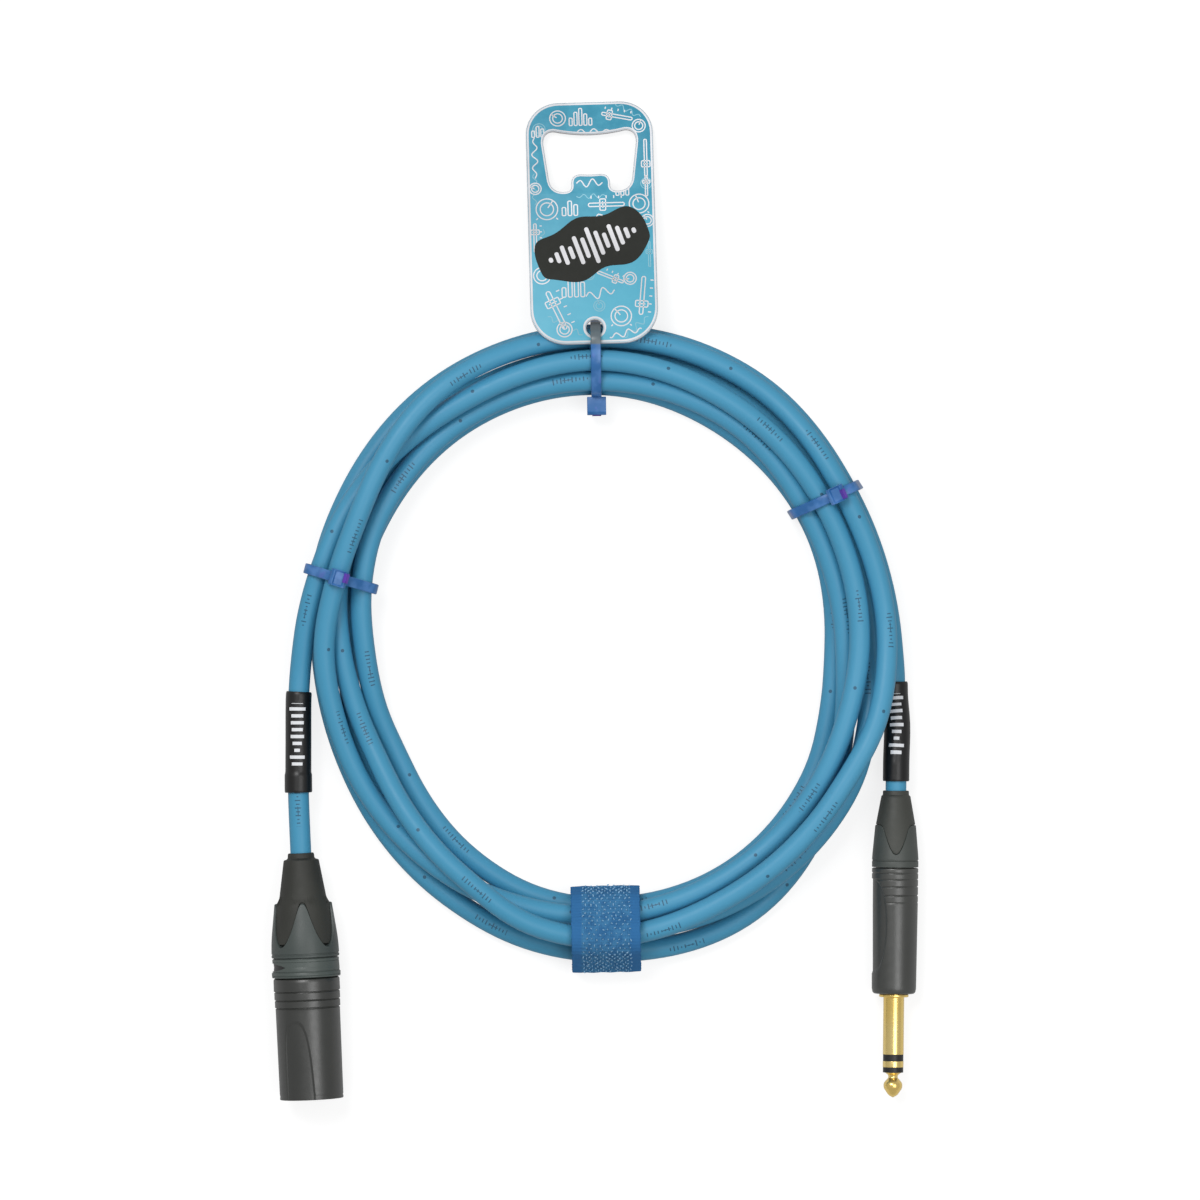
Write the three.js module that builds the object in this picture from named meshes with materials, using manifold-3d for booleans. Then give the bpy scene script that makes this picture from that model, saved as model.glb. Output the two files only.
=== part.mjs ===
// A coiled stage audio cable, from a male three-pin plug to a quarter-inch jack plug, lying on a table.
// Millimetres, +Z up. The origin is on the table, under the middle of the whole object.
import * as THREE from "three";
import { mergeVertices } from "three/addons/utils/BufferGeometryUtils.js";
import Module from "manifold-3d";

// ---- driving dimensions -------------------------------------------------------------------------
const gap = 0.3; // between two pieces that touch
const slack = 0.35; // between the strands and a band round them
const cordRadius = 3.2;
const cordSides = 10;
const wall = 0.9; // marker sleeves

// The coil's laps are counted from the three-pin plug. Angles run clockwise from the coil's top.
const coilCentre = { x: 1.5, y: -14.7 };
const startAngle = 265;
const endAngle = 2255;
const fineStep = 5;
const coarseStep = 15;
const coilSides = 6;
const startRadius = 92;
const approachRadius = 94.4; // 10 degrees before the start
const leavingRadius = 104; // 25 degrees past the end
// The laps' radii at chosen angles, and their stacking order from the table up.
const rows = [
  { at: 0, radii: [87.8, 94.9, 88.9, 80.6, 81.7, 96.0], stack: "325401" },
  { at: 30, radii: [84.5, 93.2, 87.4, 77.8, 80.1, 94.5], stack: "325401" },
  { at: 60, radii: [81.0, 87.9, 82.3, 75.1, 75.5, 89.3], stack: "325401" },
  { at: 90, radii: [79.1, 87.5, 82.1, 71.9, 75.0, 89.6], stack: "325401" },
  { at: 105, radii: [78.2, 87.1, 84.8, 72.9, 77.6, 94.3], stack: "534201" },
  { at: 120, radii: [78.5, 84.9, 87.4, 75.7, 82.8], stack: "34201" },
  { at: 150, radii: [79.7, 85.3, 87.8, 79.1, 93.1], stack: "34201" },
  { at: 180, radii: [81.7, 88.2, 86.2, 79.4, 93.0], stack: "34201" },
  { at: 195, radii: [82.2, 86.4, 85.0, 78.4, 91.7], stack: "34201" },
  { at: 210, radii: [83.0, 81.3, 82.4, 75.8, 89.2], stack: "34201" },
  { at: 240, radii: [83.6, 76.0, 78.0, 70.4, 85.3], stack: "34201" },
  { at: 255, radii: [83.6, 76.6, 77.9, 70.7, 84.6], stack: "24310" },
  { at: 270, radii: [90.8, 84.1, 79.2, 77.5, 72.0, 85.4], stack: "354201" },
  { at: 285, radii: [88.7, 83.0, 82.5, 77.6, 75.3, 88.3], stack: "352401" },
  { at: 300, radii: [87.9, 84.1, 84.1, 78.2, 78.4, 90.0], stack: "352401" },
  { at: 330, radii: [86.1, 93.0, 87.4, 80.4, 81.3, 94.5], stack: "352401" },
];
const beside = 7.0; // two strands this far apart sideways may lie at one height
const above = 7.6; // and this far apart where one crosses right over the other
const humpRadius = 90; // the tightest bend of a strand that climbs over another
const humpStations = 14; // how far along the cord a hump can reach
const sagHeight = 3.35; // a strand's axis where it lies on the table
const tieLift = 1.4; // how much higher it lies where a tie passes beneath
const tieReach = 22; // degrees that it takes to come down again
const endHeight = 4.9; // the cord's axis where it leaves for the jack

const topTie = { angle: 359.2, width: 3.0, thickness: 1.1 };
const rightTie = { angle: 57, width: 3.0, thickness: 1.2, head: 86 };
const leftTie = { angle: 285, width: 3.0, thickness: 1.2, head: 82.5 };
const strap = {
  angle: 178.8,
  width: 21,
  thickness: 1.2,
  flap: 1.1, // thickness of its upper layer
  inner: 75, // where the two layers meet, inside and outside the coil
  outer: 97,
  tip: 5.6,
  flapFoot: 8, // the height at which the upper layer ends
};

const xlr = { x: -89.9, y: -77.3, z: 10.5, lean: 0.0447 }; // the tip of its boot, and its turn
const jack = { x: 92.05, y: -56.9, z: 7.2, lean: -0.0103 };
const boreRadius = 3.6; // of a boot, round the cord

const tag = {
  thickness: 1.6,
  width: 39,
  rim: 1.15, // from the hinge line to the lower edge
  length: 75.4, // from the hinge line to the far edge
  hole: { at: 3.8, radius: 2.6 },
  lean: 1.6,
  hingeY: 79.15,
  clearance: 6.0, // from the strand beneath to the hinge line
  loop: 1.75, // of the tie's bend round the rim
};

const radians = Math.PI / 180;
const vector = (x, y, z) => new THREE.Vector3(x, y, z);

// ---- materials ----------------------------------------------------------------------------------
const material = (color, roughness, metalness = 0) =>
  new THREE.MeshStandardMaterial({ color, roughness, metalness });
const cordVinyl = material("#4f8ba6", 0.45);
const tieNylon = material("#3f66ad", 0.4);
const strapFabric = material("#4577b0", 0.85);
const markerBlack = material("#1b1c1e", 0.5);
const hardPlastic = material("#2b2d2c", 0.45);
const softRubber = material("#35362f", 0.75);
const collarGrey = material("#5a6462", 0.5);
const shellMetal = material("#3a3d3c", 0.4, 0.8);
const gold = material("#e2b44c", 0.25, 1);
const insulation = material("#151617", 0.5);
const tagPlate = material("#5fa8c2", 0.4, 0.3);
const wireColours = ["#c23a34", "#e8e6de", "#23262a"].map((colour) => material(colour, 0.5));

// ---- shapes -------------------------------------------------------------------------------------
const wasm = await Module();
wasm.setup();

function signedVolume(geometry) {
  const position = geometry.attributes.position;
  const corner = [vector(), vector(), vector()];
  let sum = 0;
  for (let i = 0; i < geometry.index.count; i += 3) {
    corner.forEach((point, k) => point.fromBufferAttribute(position, geometry.index.getX(i + k)));
    sum += corner[0].dot(corner[1].clone().cross(corner[2]));
  }
  return sum;
}

// One closed skin with shared corners, no empty triangles, and its faces pointing out.
function closed(geometry) {
  const bare = geometry.clone();
  bare.deleteAttribute("normal");
  bare.deleteAttribute("uv");
  const merged = mergeVertices(bare, 1e-4);
  const kept = [];
  const old = merged.index.array;
  for (let i = 0; i < old.length; i += 3) {
    const [a, b, c] = [old[i], old[i + 1], old[i + 2]];
    if (a !== b && b !== c && c !== a) kept.push(a, b, c);
  }
  merged.setIndex(kept);
  if (signedVolume(merged) < 0) merged.setIndex(kept.reverse());
  return merged;
}

function toSolid(geometry) {
  const skin = closed(geometry);
  const vertProperties = new Float32Array(skin.attributes.position.array);
  const triVerts = new Uint32Array(skin.index.array);
  return new wasm.Manifold(new wasm.Mesh({ numProp: 3, vertProperties, triVerts }));
}

function fromSolid(solid) {
  const mesh = solid.getMesh();
  const geometry = new THREE.BufferGeometry();
  geometry.setAttribute("position", new THREE.BufferAttribute(new Float32Array(mesh.vertProperties), 3));
  geometry.setIndex(Array.from(mesh.triVerts));
  return geometry;
}

const join = (...parts) => fromSolid(parts.map(toSolid).reduce((a, b) => a.add(b)));
const cut = (body, ...tools) => fromSolid(tools.map(toSolid).reduce((a, b) => a.subtract(b), toSolid(body)));
const common = (a, b) => fromSolid(toSolid(a).intersect(toSolid(b)));

// A body turned about the plug's axis. The outline gives [distance along the axis, radius] pairs.
function turned(outline, sides = 20) {
  const points = outline.map(([along, radius]) => new THREE.Vector2(radius, -along));
  if (outline[0][1] > 0) points.push(points[0].clone());
  return closed(new THREE.LatheGeometry(points, sides));
}

// A ring between an outer outline and a straight or stepped bore, both as [along, radius] pairs.
const ringTurned = (outer, bore, sides = 20) => turned([...outer, ...[...bore].reverse()], sides);

function extruded(shape, depth, curveSegments = 6) {
  return closed(new THREE.ExtrudeGeometry(shape, { depth, bevelEnabled: false, curveSegments }));
}

function polygon(points) {
  const shape = new THREE.Shape();
  points.forEach(([x, y], i) => (i ? shape.lineTo(x, y) : shape.moveTo(x, y)));
  shape.closePath();
  return shape;
}

function circlePoints(radius, sides) {
  return Array.from({ length: sides }, (_, i) => {
    const turn = ((i + 0.5) / sides) * 2 * Math.PI;
    return [radius * Math.cos(turn), radius * Math.sin(turn)];
  });
}

// A tube or rod along a curve, with an optional bore.
function alongCurve(curve, steps, radius, sides, bore = 0) {
  const shape = polygon(circlePoints(radius, sides));
  if (bore) shape.holes.push(new THREE.Path(circlePoints(bore, sides).map(([x, y]) => new THREE.Vector2(x, y))));
  return closed(new THREE.ExtrudeGeometry(shape, { steps, extrudePath: curve, curveSegments: 1 }));
}

// The convex outline round a set of circles { x, y, radius }.
function hullOutline(circles, offset = 0, sides = 20) {
  const points = circles.flatMap((circle) =>
    circlePoints(circle.radius + offset, sides).map(([x, y]) => [circle.x + x, circle.y + y]));
  points.sort((a, b) => a[0] - b[0] || a[1] - b[1]);
  const half = (list) => {
    const chain = [];
    for (const p of list) {
      while (chain.length > 1) {
        const [a, b] = chain.slice(-2);
        if ((b[0] - a[0]) * (p[1] - a[1]) - (b[1] - a[1]) * (p[0] - a[0]) > 1e-3) break;
        chain.pop();
      }
      chain.push(p);
    }
    return chain.slice(0, -1);
  };
  return [...half(points), ...half(points.reverse())];
}

function meshOf(name, geometry, look) {
  const mesh = new THREE.Mesh(geometry, look);
  mesh.name = name;
  return mesh;
}

// ---- the coil's route ---------------------------------------------------------------------------
const lapAt = (angle) => Math.floor((angle - startAngle) / 360);

// The route's given radii, one for each row that the cord passes.
function routeKeys() {
  const keys = [{ angle: startAngle - 10, radius: approachRadius }, { angle: startAngle, radius: startRadius }];
  for (let turn = 0; turn <= lapAt(endAngle) + 1; turn += 1) {
    for (const row of rows) {
      const angle = turn * 360 + row.at;
      const lap = lapAt(angle);
      if (angle <= startAngle || lap >= row.radii.length || angle > endAngle + 10) continue;
      keys.push({ angle, radius: row.radii[lap], rank: row.stack.indexOf(String(lap)) });
    }
  }
  keys.push({ angle: endAngle + 25, radius: leavingRadius });
  return keys;
}

// A smooth radius between the keys.
function radiusAt(keys, angle) {
  const k = Math.max(1, keys.findIndex((key) => key.angle >= angle) - 1);
  const slope = (i) => (keys[i + 1].radius - keys[i - 1].radius) / (keys[i + 1].angle - keys[i - 1].angle);
  const width = keys[k + 1].angle - keys[k].angle;
  const u = (angle - keys[k].angle) / width;
  const value = keys[k].radius * (1 + 2 * u) * (1 - u) ** 2 + keys[k + 1].radius * u * u * (3 - 2 * u);
  return value + width * (slope(k) * u * (1 - u) ** 2 - slope(k + 1) * u * u * (1 - u));
}

function rankAt(keys, angle) {
  const ranked = keys.filter((key) => key.rank >= 0 && key.angle < endAngle);
  const nearer = (a, b) => (Math.abs(b.angle - angle) < Math.abs(a.angle - angle) ? b : a);
  return ranked.reduce(nearer).rank;
}

// How high the table or a tie holds a strand.
function floorAt(angle) {
  const supports = [topTie, rightTie, leftTie, strap];
  const lifts = supports.map((support) => {
    const flat = support === strap ? 8 : 0;
    const away = Math.abs((((angle - support.angle) % 360) + 540) % 360 - 180);
    const u = Math.min(Math.max(0, away - flat) / tieReach, 1);
    return 0.5 + 0.5 * Math.cos(u * Math.PI);
  });
  return sagHeight + tieLift * Math.max(...lifts);
}

// Each strand lies on the strands below it, and bends no tighter than the hump radius over them.
function settle(stations) {
  const floor = stations.map((station) => floorAt(station.angle));
  floor[0] = xlr.z;
  floor[floor.length - 1] = endHeight;
  let heights = [...floor];
  let change = 1;
  const perLap = 360 / fineStep;
  while (change > 0.005) {
    const target = [...floor];
    stations.forEach((station, i) => {
      for (let j = i % perLap; j < stations.length; j += perLap) {
        const sideways = Math.abs(station.radius - stations[j].radius) / beside;
        if (stations[j].rank >= station.rank || sideways >= 1) continue;
        target[i] = Math.max(target[i], heights[j] + above * Math.sqrt(1 - sideways ** 2));
      }
    });
    const next = target.map((_, i) => {
      const from = Math.max(0, i - humpStations);
      const near = target.slice(from, i + humpStations + 1);
      return Math.max(...near.map((top, k) =>
        top - (stations[i].along - stations[from + k].along) ** 2 / (2 * humpRadius)));
    });
    change = Math.max(...next.map((height, i) => Math.abs(height - heights[i])));
    heights = next;
  }
  const last = heights.length - 1;
  for (let pass = 0; pass < 3; pass += 1) {
    heights = heights.map((h, i) => (i && i < last ? (heights[i - 1] + 2 * h + heights[i + 1]) / 4 : h));
  }
  return heights;
}

function coilStations() {
  const keys = routeKeys();
  const stations = [];
  let along = 0;
  for (let angle = startAngle; angle <= endAngle; angle += fineStep) {
    const radius = radiusAt(keys, angle);
    stations.push({ angle, radius, along, rank: rankAt(keys, angle) });
    along += fineStep * radians * radius;
  }
  settle(stations).forEach((height, i) => {
    const { angle, radius } = stations[i];
    stations[i].point = vector(
      coilCentre.x + radius * Math.sin(angle * radians),
      coilCentre.y + radius * Math.cos(angle * radians),
      height,
    );
  });
  return stations;
}

const stations = coilStations();
const finePath = stations.map((station) => station.point);
const coilStart = { point: finePath[0], direction: vector(0.061, 0.998, 0).normalize() };
const coilEnd = { point: finePath[finePath.length - 1], direction: vector(0.02, -1, 0).normalize() };

// The coil's own solid: straight for one diameter at each end, and a ring every 15 degrees between.
const straight = 2 * cordRadius;
const between = stations.filter(({ angle }) =>
  angle % coarseStep === 0 && angle > startAngle + 10 && angle < endAngle - 10);
const coilPath = [
  coilStart.point,
  coilStart.point.clone().addScaledVector(coilStart.direction, straight),
  ...between.map((station) => station.point),
  coilEnd.point.clone().addScaledVector(coilEnd.direction, -straight),
  coilEnd.point,
];

function loftCoil(path) {
  const positions = [];
  const index = [];
  path.forEach((point, i) => {
    const before = i ? point.clone().sub(path[i - 1]).normalize() : coilStart.direction;
    const after = i < path.length - 1 ? path[i + 1].clone().sub(point).normalize() : coilEnd.direction;
    const forward = before.clone().add(after).normalize();
    const side = forward.clone().cross(vector(0, 0, 1)).normalize();
    const up = side.clone().cross(forward);
    for (let k = 0; k < coilSides; k += 1) {
      const turn = (k / coilSides) * 2 * Math.PI;
      const corner = point.clone()
        .addScaledVector(side, cordRadius * Math.cos(turn))
        .addScaledVector(up, cordRadius * Math.sin(turn));
      positions.push(corner.x, corner.y, corner.z);
    }
  });
  const at = (ring, k) => ring * coilSides + (k % coilSides);
  for (let ring = 0; ring + 1 < path.length; ring += 1) {
    for (let k = 0; k < coilSides; k += 1) {
      index.push(at(ring, k), at(ring, k + 1), at(ring + 1, k));
      index.push(at(ring, k + 1), at(ring + 1, k + 1), at(ring + 1, k));
    }
  }
  for (let k = 1; k + 1 < coilSides; k += 1) {
    index.push(at(0, 0), at(0, k + 1), at(0, k));
    index.push(at(path.length - 1, 0), at(path.length - 1, k), at(path.length - 1, k + 1));
  }
  const geometry = new THREE.BufferGeometry();
  geometry.setAttribute("position", new THREE.Float32BufferAttribute(positions, 3));
  geometry.setIndex(index);
  return closed(geometry);
}

function denseAlong(path, pieces = 4) {
  const steps = path.slice(1).flatMap((end, i) =>
    Array.from({ length: pieces }, (_, k) => path[i].clone().lerp(end, k / pieces)));
  return [...steps, path[path.length - 1]];
}

// The least distance between two strands, less the cord's diameter.
function leastGap(path) {
  const dense = denseAlong(path);
  const along = [0];
  dense.slice(1).forEach((point, i) => along.push(along[i] + point.distanceTo(dense[i])));
  let least = Infinity;
  for (let i = 0; i < dense.length; i += 1) {
    for (let j = i + 1; j < dense.length; j += 1) {
      if (along[j] - along[i] > 100) least = Math.min(least, dense[i].distanceTo(dense[j]));
    }
  }
  return { clear: least - 2 * cordRadius, length: along[along.length - 1] };
}

const measured = leastGap(coilPath);
console.log(`coil: least gap to itself ${measured.clear.toFixed(2)} mm, length ${measured.length.toFixed(0)} mm`);

// ---- the cord's two tails and their marker sleeves ----------------------------------------------
const along = (plug, distance) =>
  vector(plug.x + distance * Math.sin(plug.lean), plug.y - distance * Math.cos(plug.lean), plug.z);

const xlrTail = new THREE.CatmullRomCurve3([
  along(xlr, -gap / 2),
  along(xlr, -4),
  along(xlr, -8),
  vector(-90.62, -59, 10.5),
  vector(-90.64, -43.4, 10.5),
  coilStart.point.clone().addScaledVector(coilStart.direction, -7),
  coilStart.point.clone().addScaledVector(coilStart.direction, -3.6),
  coilStart.point.clone().addScaledVector(coilStart.direction, -gap),
], false, "centripetal");

const jackTail = new THREE.CatmullRomCurve3([
  coilEnd.point.clone().addScaledVector(coilEnd.direction, gap),
  coilEnd.point.clone().addScaledVector(coilEnd.direction, 3.6),
  coilEnd.point.clone().addScaledVector(coilEnd.direction, 7),
  vector(92.45, -38.5, 6.0),
  along(jack, -8),
  along(jack, -4),
  along(jack, 1.35),
], false, "centripetal");

// A stretch of a curve, for a sleeve that follows it.
class Stretch extends THREE.Curve {
  constructor(curve, from, to) {
    super();
    Object.assign(this, { curve, from, to });
  }

  getPoint(t, target = new THREE.Vector3()) {
    return this.curve.getPointAt(this.from + (this.to - this.from) * t, target);
  }
}

function sleeveOn(name, curve, fromY, toY) {
  const fractionAt = (y) => {
    const samples = Array.from({ length: 201 }, (_, i) => i / 200);
    return samples.reduce((a, b) =>
      (Math.abs(curve.getPointAt(b).y - y) < Math.abs(curve.getPointAt(a).y - y) ? b : a));
  };
  const stretch = new Stretch(curve, fractionAt(fromY), fractionAt(toY));
  const bore = (cordRadius + gap) / Math.cos(Math.PI / cordSides);
  return meshOf(name, alongCurve(stretch, 6, bore + wall - gap, cordSides, bore), markerBlack);
}

const cord = new THREE.Group();
cord.add(
  meshOf("coil", loftCoil(coilPath), cordVinyl),
  meshOf("xlr_tail", alongCurve(xlrTail, 9, cordRadius, cordSides), cordVinyl),
  meshOf("jack_tail", alongCurve(jackTail, 7, cordRadius, cordSides), cordVinyl),
  sleeveOn("xlr_sleeve", xlrTail, -59, -28),
  sleeveOn("jack_sleeve", jackTail, -25, -55.6),
);

// ---- three-pin plug -----------------------------------------------------------------------------
// Lengths run from the tip of the boot towards the contacts.
const spin = (geometry, turn) => geometry.clone().rotateY(turn);
const quarters = [0, 1, 2, 3].map((k) => (k * Math.PI) / 2);

// The rounded outline of one of the bushing's four fingers, as a prism that points along +Z.
const finger = { root: 28, peak: 14.9, halfWidth: 6.6 };

function fingerPrism(grow = 0) {
  const { root, peak } = finger;
  const half = finger.halfWidth + grow;
  const shape = new THREE.Shape();
  shape.moveTo(-half, -(root + 0.6));
  shape.lineTo(-half, -root);
  shape.bezierCurveTo(-half * 0.8, -(root + peak) / 2, -half * 0.62, -peak + grow, 0, -peak + grow);
  shape.bezierCurveTo(half * 0.62, -peak + grow, half * 0.8, -(root + peak) / 2, half, -root);
  shape.lineTo(half, -(root + 0.6));
  shape.closePath();
  return extruded(shape, 9, 5).translate(0, 0, 4);
}

function xlrBushing() {
  const sleeve = ringTurned([[14.8, 8.7], [25, 10.1], [28.2, 10.35]], [[14.8, 7.9], [28.2, 7.9]], 24);
  const fingers = quarters.map((turn) => common(sleeve, spin(fingerPrism(), turn)));
  const ring = ringTurned([[27.8, 10.3], [30.4, 10.45], [31.8, 10.3]], [[27.8, 7.9], [31.8, 7.9]], 24);
  const collar = ringTurned([[31.5, 8.4], [37.6, 8.4]], [[31.5, 7.7], [37.6, 7.7]], 24);
  return join(ring, ...fingers, collar);
}

function xlrBoot() {
  const cone = ringTurned(
    [[0, 3.95], [1.5, 4.0], [2.0, 5.45], [14, 7.3], [15.2, 8.2], [27.4, 9.7]],
    [[0, boreRadius], [13.5, boreRadius], [14, 6.0], [27.4, 6.0]], 24);
  const room = ringTurned([[14.2, 12], [28.6, 12]], [[14.2, 7.6], [28.6, 7.6]], 24);
  const slots = quarters.map((turn) => common(room, spin(fingerPrism(gap), turn)));
  return cut(cone, ...slots);
}

function xlrShell() {
  const shell = ringTurned(
    [[33, 7.4], [38.1, 7.4], [38.1, 10.1], [41.3, 10.1], [41.6, 9.9], [75.1, 9.7]],
    [[33, 6.6], [39.5, 6.6], [39.5, 8.5], [75.1, 8.5]], 28);
  const recess = new THREE.Shape();
  recess.moveTo(-7.7, -76);
  recess.lineTo(-7.7, -55.8);
  recess.absarc(-3.4, -55.8, 4.3, Math.PI, 0, true);
  recess.lineTo(0.9, -76);
  recess.closePath();
  const skin = ringTurned([[50, 12], [76, 12]], [[50, 9.35], [76, 9.35]], 28);
  return cut(shell, common(skin, extruded(recess, 10, 8).translate(0, 0, 4)));
}

const pinCircle = 5.75;
const pinTurns = [45, 135, 270].map((degrees) => degrees * radians);

function xlrInsert() {
  const body = turned([[44.3, 0], [44.3, 8.15], [59.5, 8.15], [59.5, 0]], 24);
  const holes = pinTurns.map((turn) =>
    turned([[44, 0], [44, 1.55], [60, 1.55], [60, 0]], 10)
      .translate(pinCircle * Math.cos(turn), 0, pinCircle * Math.sin(turn)));
  return cut(body, ...holes);
}

function xlrPin(turn) {
  const pin = turned([[40.3, 0], [40.3, 1.2], [72, 1.2], [72.9, 0.8], [73.2, 0]], 10);
  return pin.translate(pinCircle * Math.cos(turn), 0, pinCircle * Math.sin(turn));
}

// An inner wire from the end of the cord's jacket to a contact.
function wire(from, to, turn, spread, radius) {
  const outX = Math.cos(turn);
  const outZ = Math.sin(turn);
  const curve = new THREE.CatmullRomCurve3([
    vector(1.6 * outX, -from, 1.6 * outZ),
    vector(1.6 * outX, -from - 1.5, 1.6 * outZ),
    vector(spread * outX, -to + 1.5, spread * outZ),
    vector(spread * outX, -to, spread * outZ),
  ], false, "centripetal");
  return alongCurve(curve, 6, radius, 6);
}

const chuck = (from, to, radius) => ringTurned(
  [[from, radius - 0.8], [from + 3, radius], [to, radius]],
  [[from, boreRadius], [to, boreRadius]], 16);
const innerCord = (from, to) => turned([[from, 0], [from, cordRadius], [to, cordRadius], [to, 0]], cordSides);

const xlrPlug = new THREE.Group();
xlrPlug.position.set(xlr.x, xlr.y, xlr.z);
xlrPlug.rotation.z = xlr.lean;
xlrPlug.add(
  meshOf("xlr_boot", xlrBoot(), softRubber),
  meshOf("xlr_bushing", xlrBushing(), hardPlastic),
  meshOf("xlr_coding_ring", ringTurned(
    [[32.1, 10.2], [35.4, 10.3], [35.7, 10.5], [37.8, 10.5]],
    [[32.1, 8.7], [37.8, 8.7]], 28), collarGrey),
  meshOf("xlr_shell", xlrShell(), shellMetal),
  meshOf("xlr_insert", xlrInsert(), insulation),
  meshOf("xlr_chuck", chuck(15, 32, 5.6), hardPlastic),
  meshOf("xlr_cord_end", innerCord(0.15, 33), cordVinyl),
  ...pinTurns.map((turn, i) => meshOf(`xlr_pin_${i + 1}`, xlrPin(turn), gold)),
  ...pinTurns.map((turn, i) =>
    meshOf(`xlr_wire_${i + 1}`, wire(33.3, 40, turn, pinCircle, 0.75), wireColours[i])),
);

// ---- jack plug ----------------------------------------------------------------------------------
function jackBushing() {
  const sleeve = ringTurned([[12, 6.35], [20.5, 7.0], [22.6, 7.2]], [[12, 5.6], [22.6, 5.6]], 24);
  return cut(sleeve, ...[0, Math.PI].map((turn) => spin(tonguePrism(0), turn)));
}

// The gap between two fingers, a U that is open towards the cord.
function tonguePrism(shrink) {
  const half = 4.3 - shrink;
  const shape = new THREE.Shape();
  shape.moveTo(-half, -11);
  shape.lineTo(-half, -16.2);
  shape.absarc(0, -16.2, half, Math.PI, 0, false);
  shape.lineTo(half, -11);
  shape.closePath();
  return extruded(shape, 6, 8).translate(0, 0, 3.2);
}

function jackBoot() {
  const cone = ringTurned(
    [[1.8, 4.1], [2.5, 4.55], [11.7, 6.05]],
    [[1.8, boreRadius], [11.7, boreRadius]], 24);
  const under = ringTurned([[11.4, 5.25], [20.6, 5.25]], [[11.4, 4.75], [20.6, 4.75]], 24);
  const skin = ringTurned([[11, 6.1], [20.6, 6.8]], [[11, 5.1], [20.6, 5.1]], 24);
  const tongues = [0, Math.PI].map((turn) => common(skin, spin(tonguePrism(gap), turn)));
  return join(cone, under, ...tongues);
}

const contact = (from, to, radius, sides = 20) =>
  turned([[from, 0], [from, radius], [to, radius], [to, 0]], sides);

const jackPlug = new THREE.Group();
jackPlug.position.set(jack.x, jack.y, jack.z);
jackPlug.rotation.z = jack.lean;
jackPlug.add(
  meshOf("jack_boot", jackBoot(), softRubber),
  meshOf("jack_bushing", jackBushing(), hardPlastic),
  meshOf("jack_coding_ring", ringTurned([[22.9, 7.15], [24.8, 7.15]], [[22.9, 5.7], [24.8, 5.7]], 24), collarGrey),
  meshOf("jack_shell", ringTurned(
    [[21.2, 5.35], [25.1, 5.35], [25.1, 7.1], [62.3, 6.75], [63.5, 6.0]],
    [[21.2, 4.7], [61.5, 4.7], [61.5, 3.5], [63.5, 3.5]], 24), shellMetal),
  meshOf("jack_chuck", chuck(12.4, 24, 4.35), hardPlastic),
  meshOf("jack_cord_end", innerCord(1.65, 26), cordVinyl),
  meshOf("jack_lug_block", contact(44, 61.2, 4.35), insulation),
  ...[0, 1, 2].map((i) => meshOf(
    `jack_wire_${i + 1}`, wire(26.3, 43.7, i * 120 * radians, 2.6, 0.75), wireColours[i])),
  meshOf("jack_sleeve_contact", turned(
    [[61.5, 0], [61.5, 3.15], [63.8, 3.15], [63.8, 4.5], [64.5, 4.5], [64.5, 3.175], [82.1, 3.175], [82.1, 0]]), gold),
  meshOf("jack_insulator_1", contact(82.4, 83.8, 3.1), insulation),
  meshOf("jack_ring", contact(84.1, 85.9, 3.175), gold),
  meshOf("jack_insulator_2", contact(86.2, 87.4, 3.1), insulation),
  meshOf("jack_tip", turned(
    [[87.7, 0], [87.7, 2.6], [89, 1.8], [89.8, 1.9], [91.4, 2.9], [92.4, 2.9], [94.6, 1.0], [95.3, 0]]), gold),
);

// ---- ties and strap -----------------------------------------------------------------------------
// A section across the coil: x runs outwards from its centre, y is up, and z is along the cord.
function sectionBasis(angle) {
  const out = vector(Math.sin(angle * radians), Math.cos(angle * radians), 0);
  const up = vector(0, 0, 1);
  const basis = new THREE.Matrix4().makeBasis(out, up, out.clone().cross(up));
  return basis.setPosition(coilCentre.x, coilCentre.y, 0);
}

const densePaths = [...denseAlong(finePath, 6), ...denseAlong(coilPath, 16)];

// The strands that pass within a tie's width, as circles in its section.
function strandsWithin(angle, halfWidth) {
  const inverse = sectionBasis(angle).invert();
  return densePaths
    .map((point) => point.clone().applyMatrix4(inverse))
    .filter((point) => point.x > 0 && Math.abs(point.z) <= halfWidth + 0.8)
    .map((point) => ({ x: point.x, y: point.y, radius: cordRadius }));
}

// The inner and outer outlines of a closed band, flat where it lies on the table.
function bandOutlines(circles, thickness) {
  const levelled = (offset, low) => hullOutline(circles, offset).map(([x, y]) => [x, Math.max(y, low)]);
  return { inner: levelled(slack, thickness), outer: levelled(slack + thickness, 0) };
}

function bandGeometry({ inner, outer }, width) {
  const shape = polygon(outer);
  shape.holes.push(new THREE.Path(inner.map(([x, y]) => new THREE.Vector2(x, y))));
  return extruded(shape, width).translate(0, 0, -width / 2);
}

// A tie's head: a block with a pocket that shows its pawl, and corners cut off.
function tieHead(length, height, width) {
  const corner = 0.8;
  const [l, h] = [length / 2, height];
  const side = polygon([[-l, 0], [l, 0], [l, h - corner], [l - corner, h], [corner - l, h], [-l, h - corner]]);
  const block = extruded(side, width).translate(0, 0, -width / 2);
  return cut(block, new THREE.BoxGeometry(length * 0.42, 1.6, width * 0.4).translate(0, height, 0));
}

// A height on the outer outline, straight above a given distance from the coil's centre.
function topOf(outline, x) {
  const heights = outline.map((a, i) => {
    const b = outline[(i + 1) % outline.length];
    const inside = Math.min(a[0], b[0]) <= x && x <= Math.max(a[0], b[0]) && a[0] !== b[0];
    return inside ? a[1] + ((b[1] - a[1]) * (x - a[0])) / (b[0] - a[0]) : -Infinity;
  });
  return Math.max(...heights);
}

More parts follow.
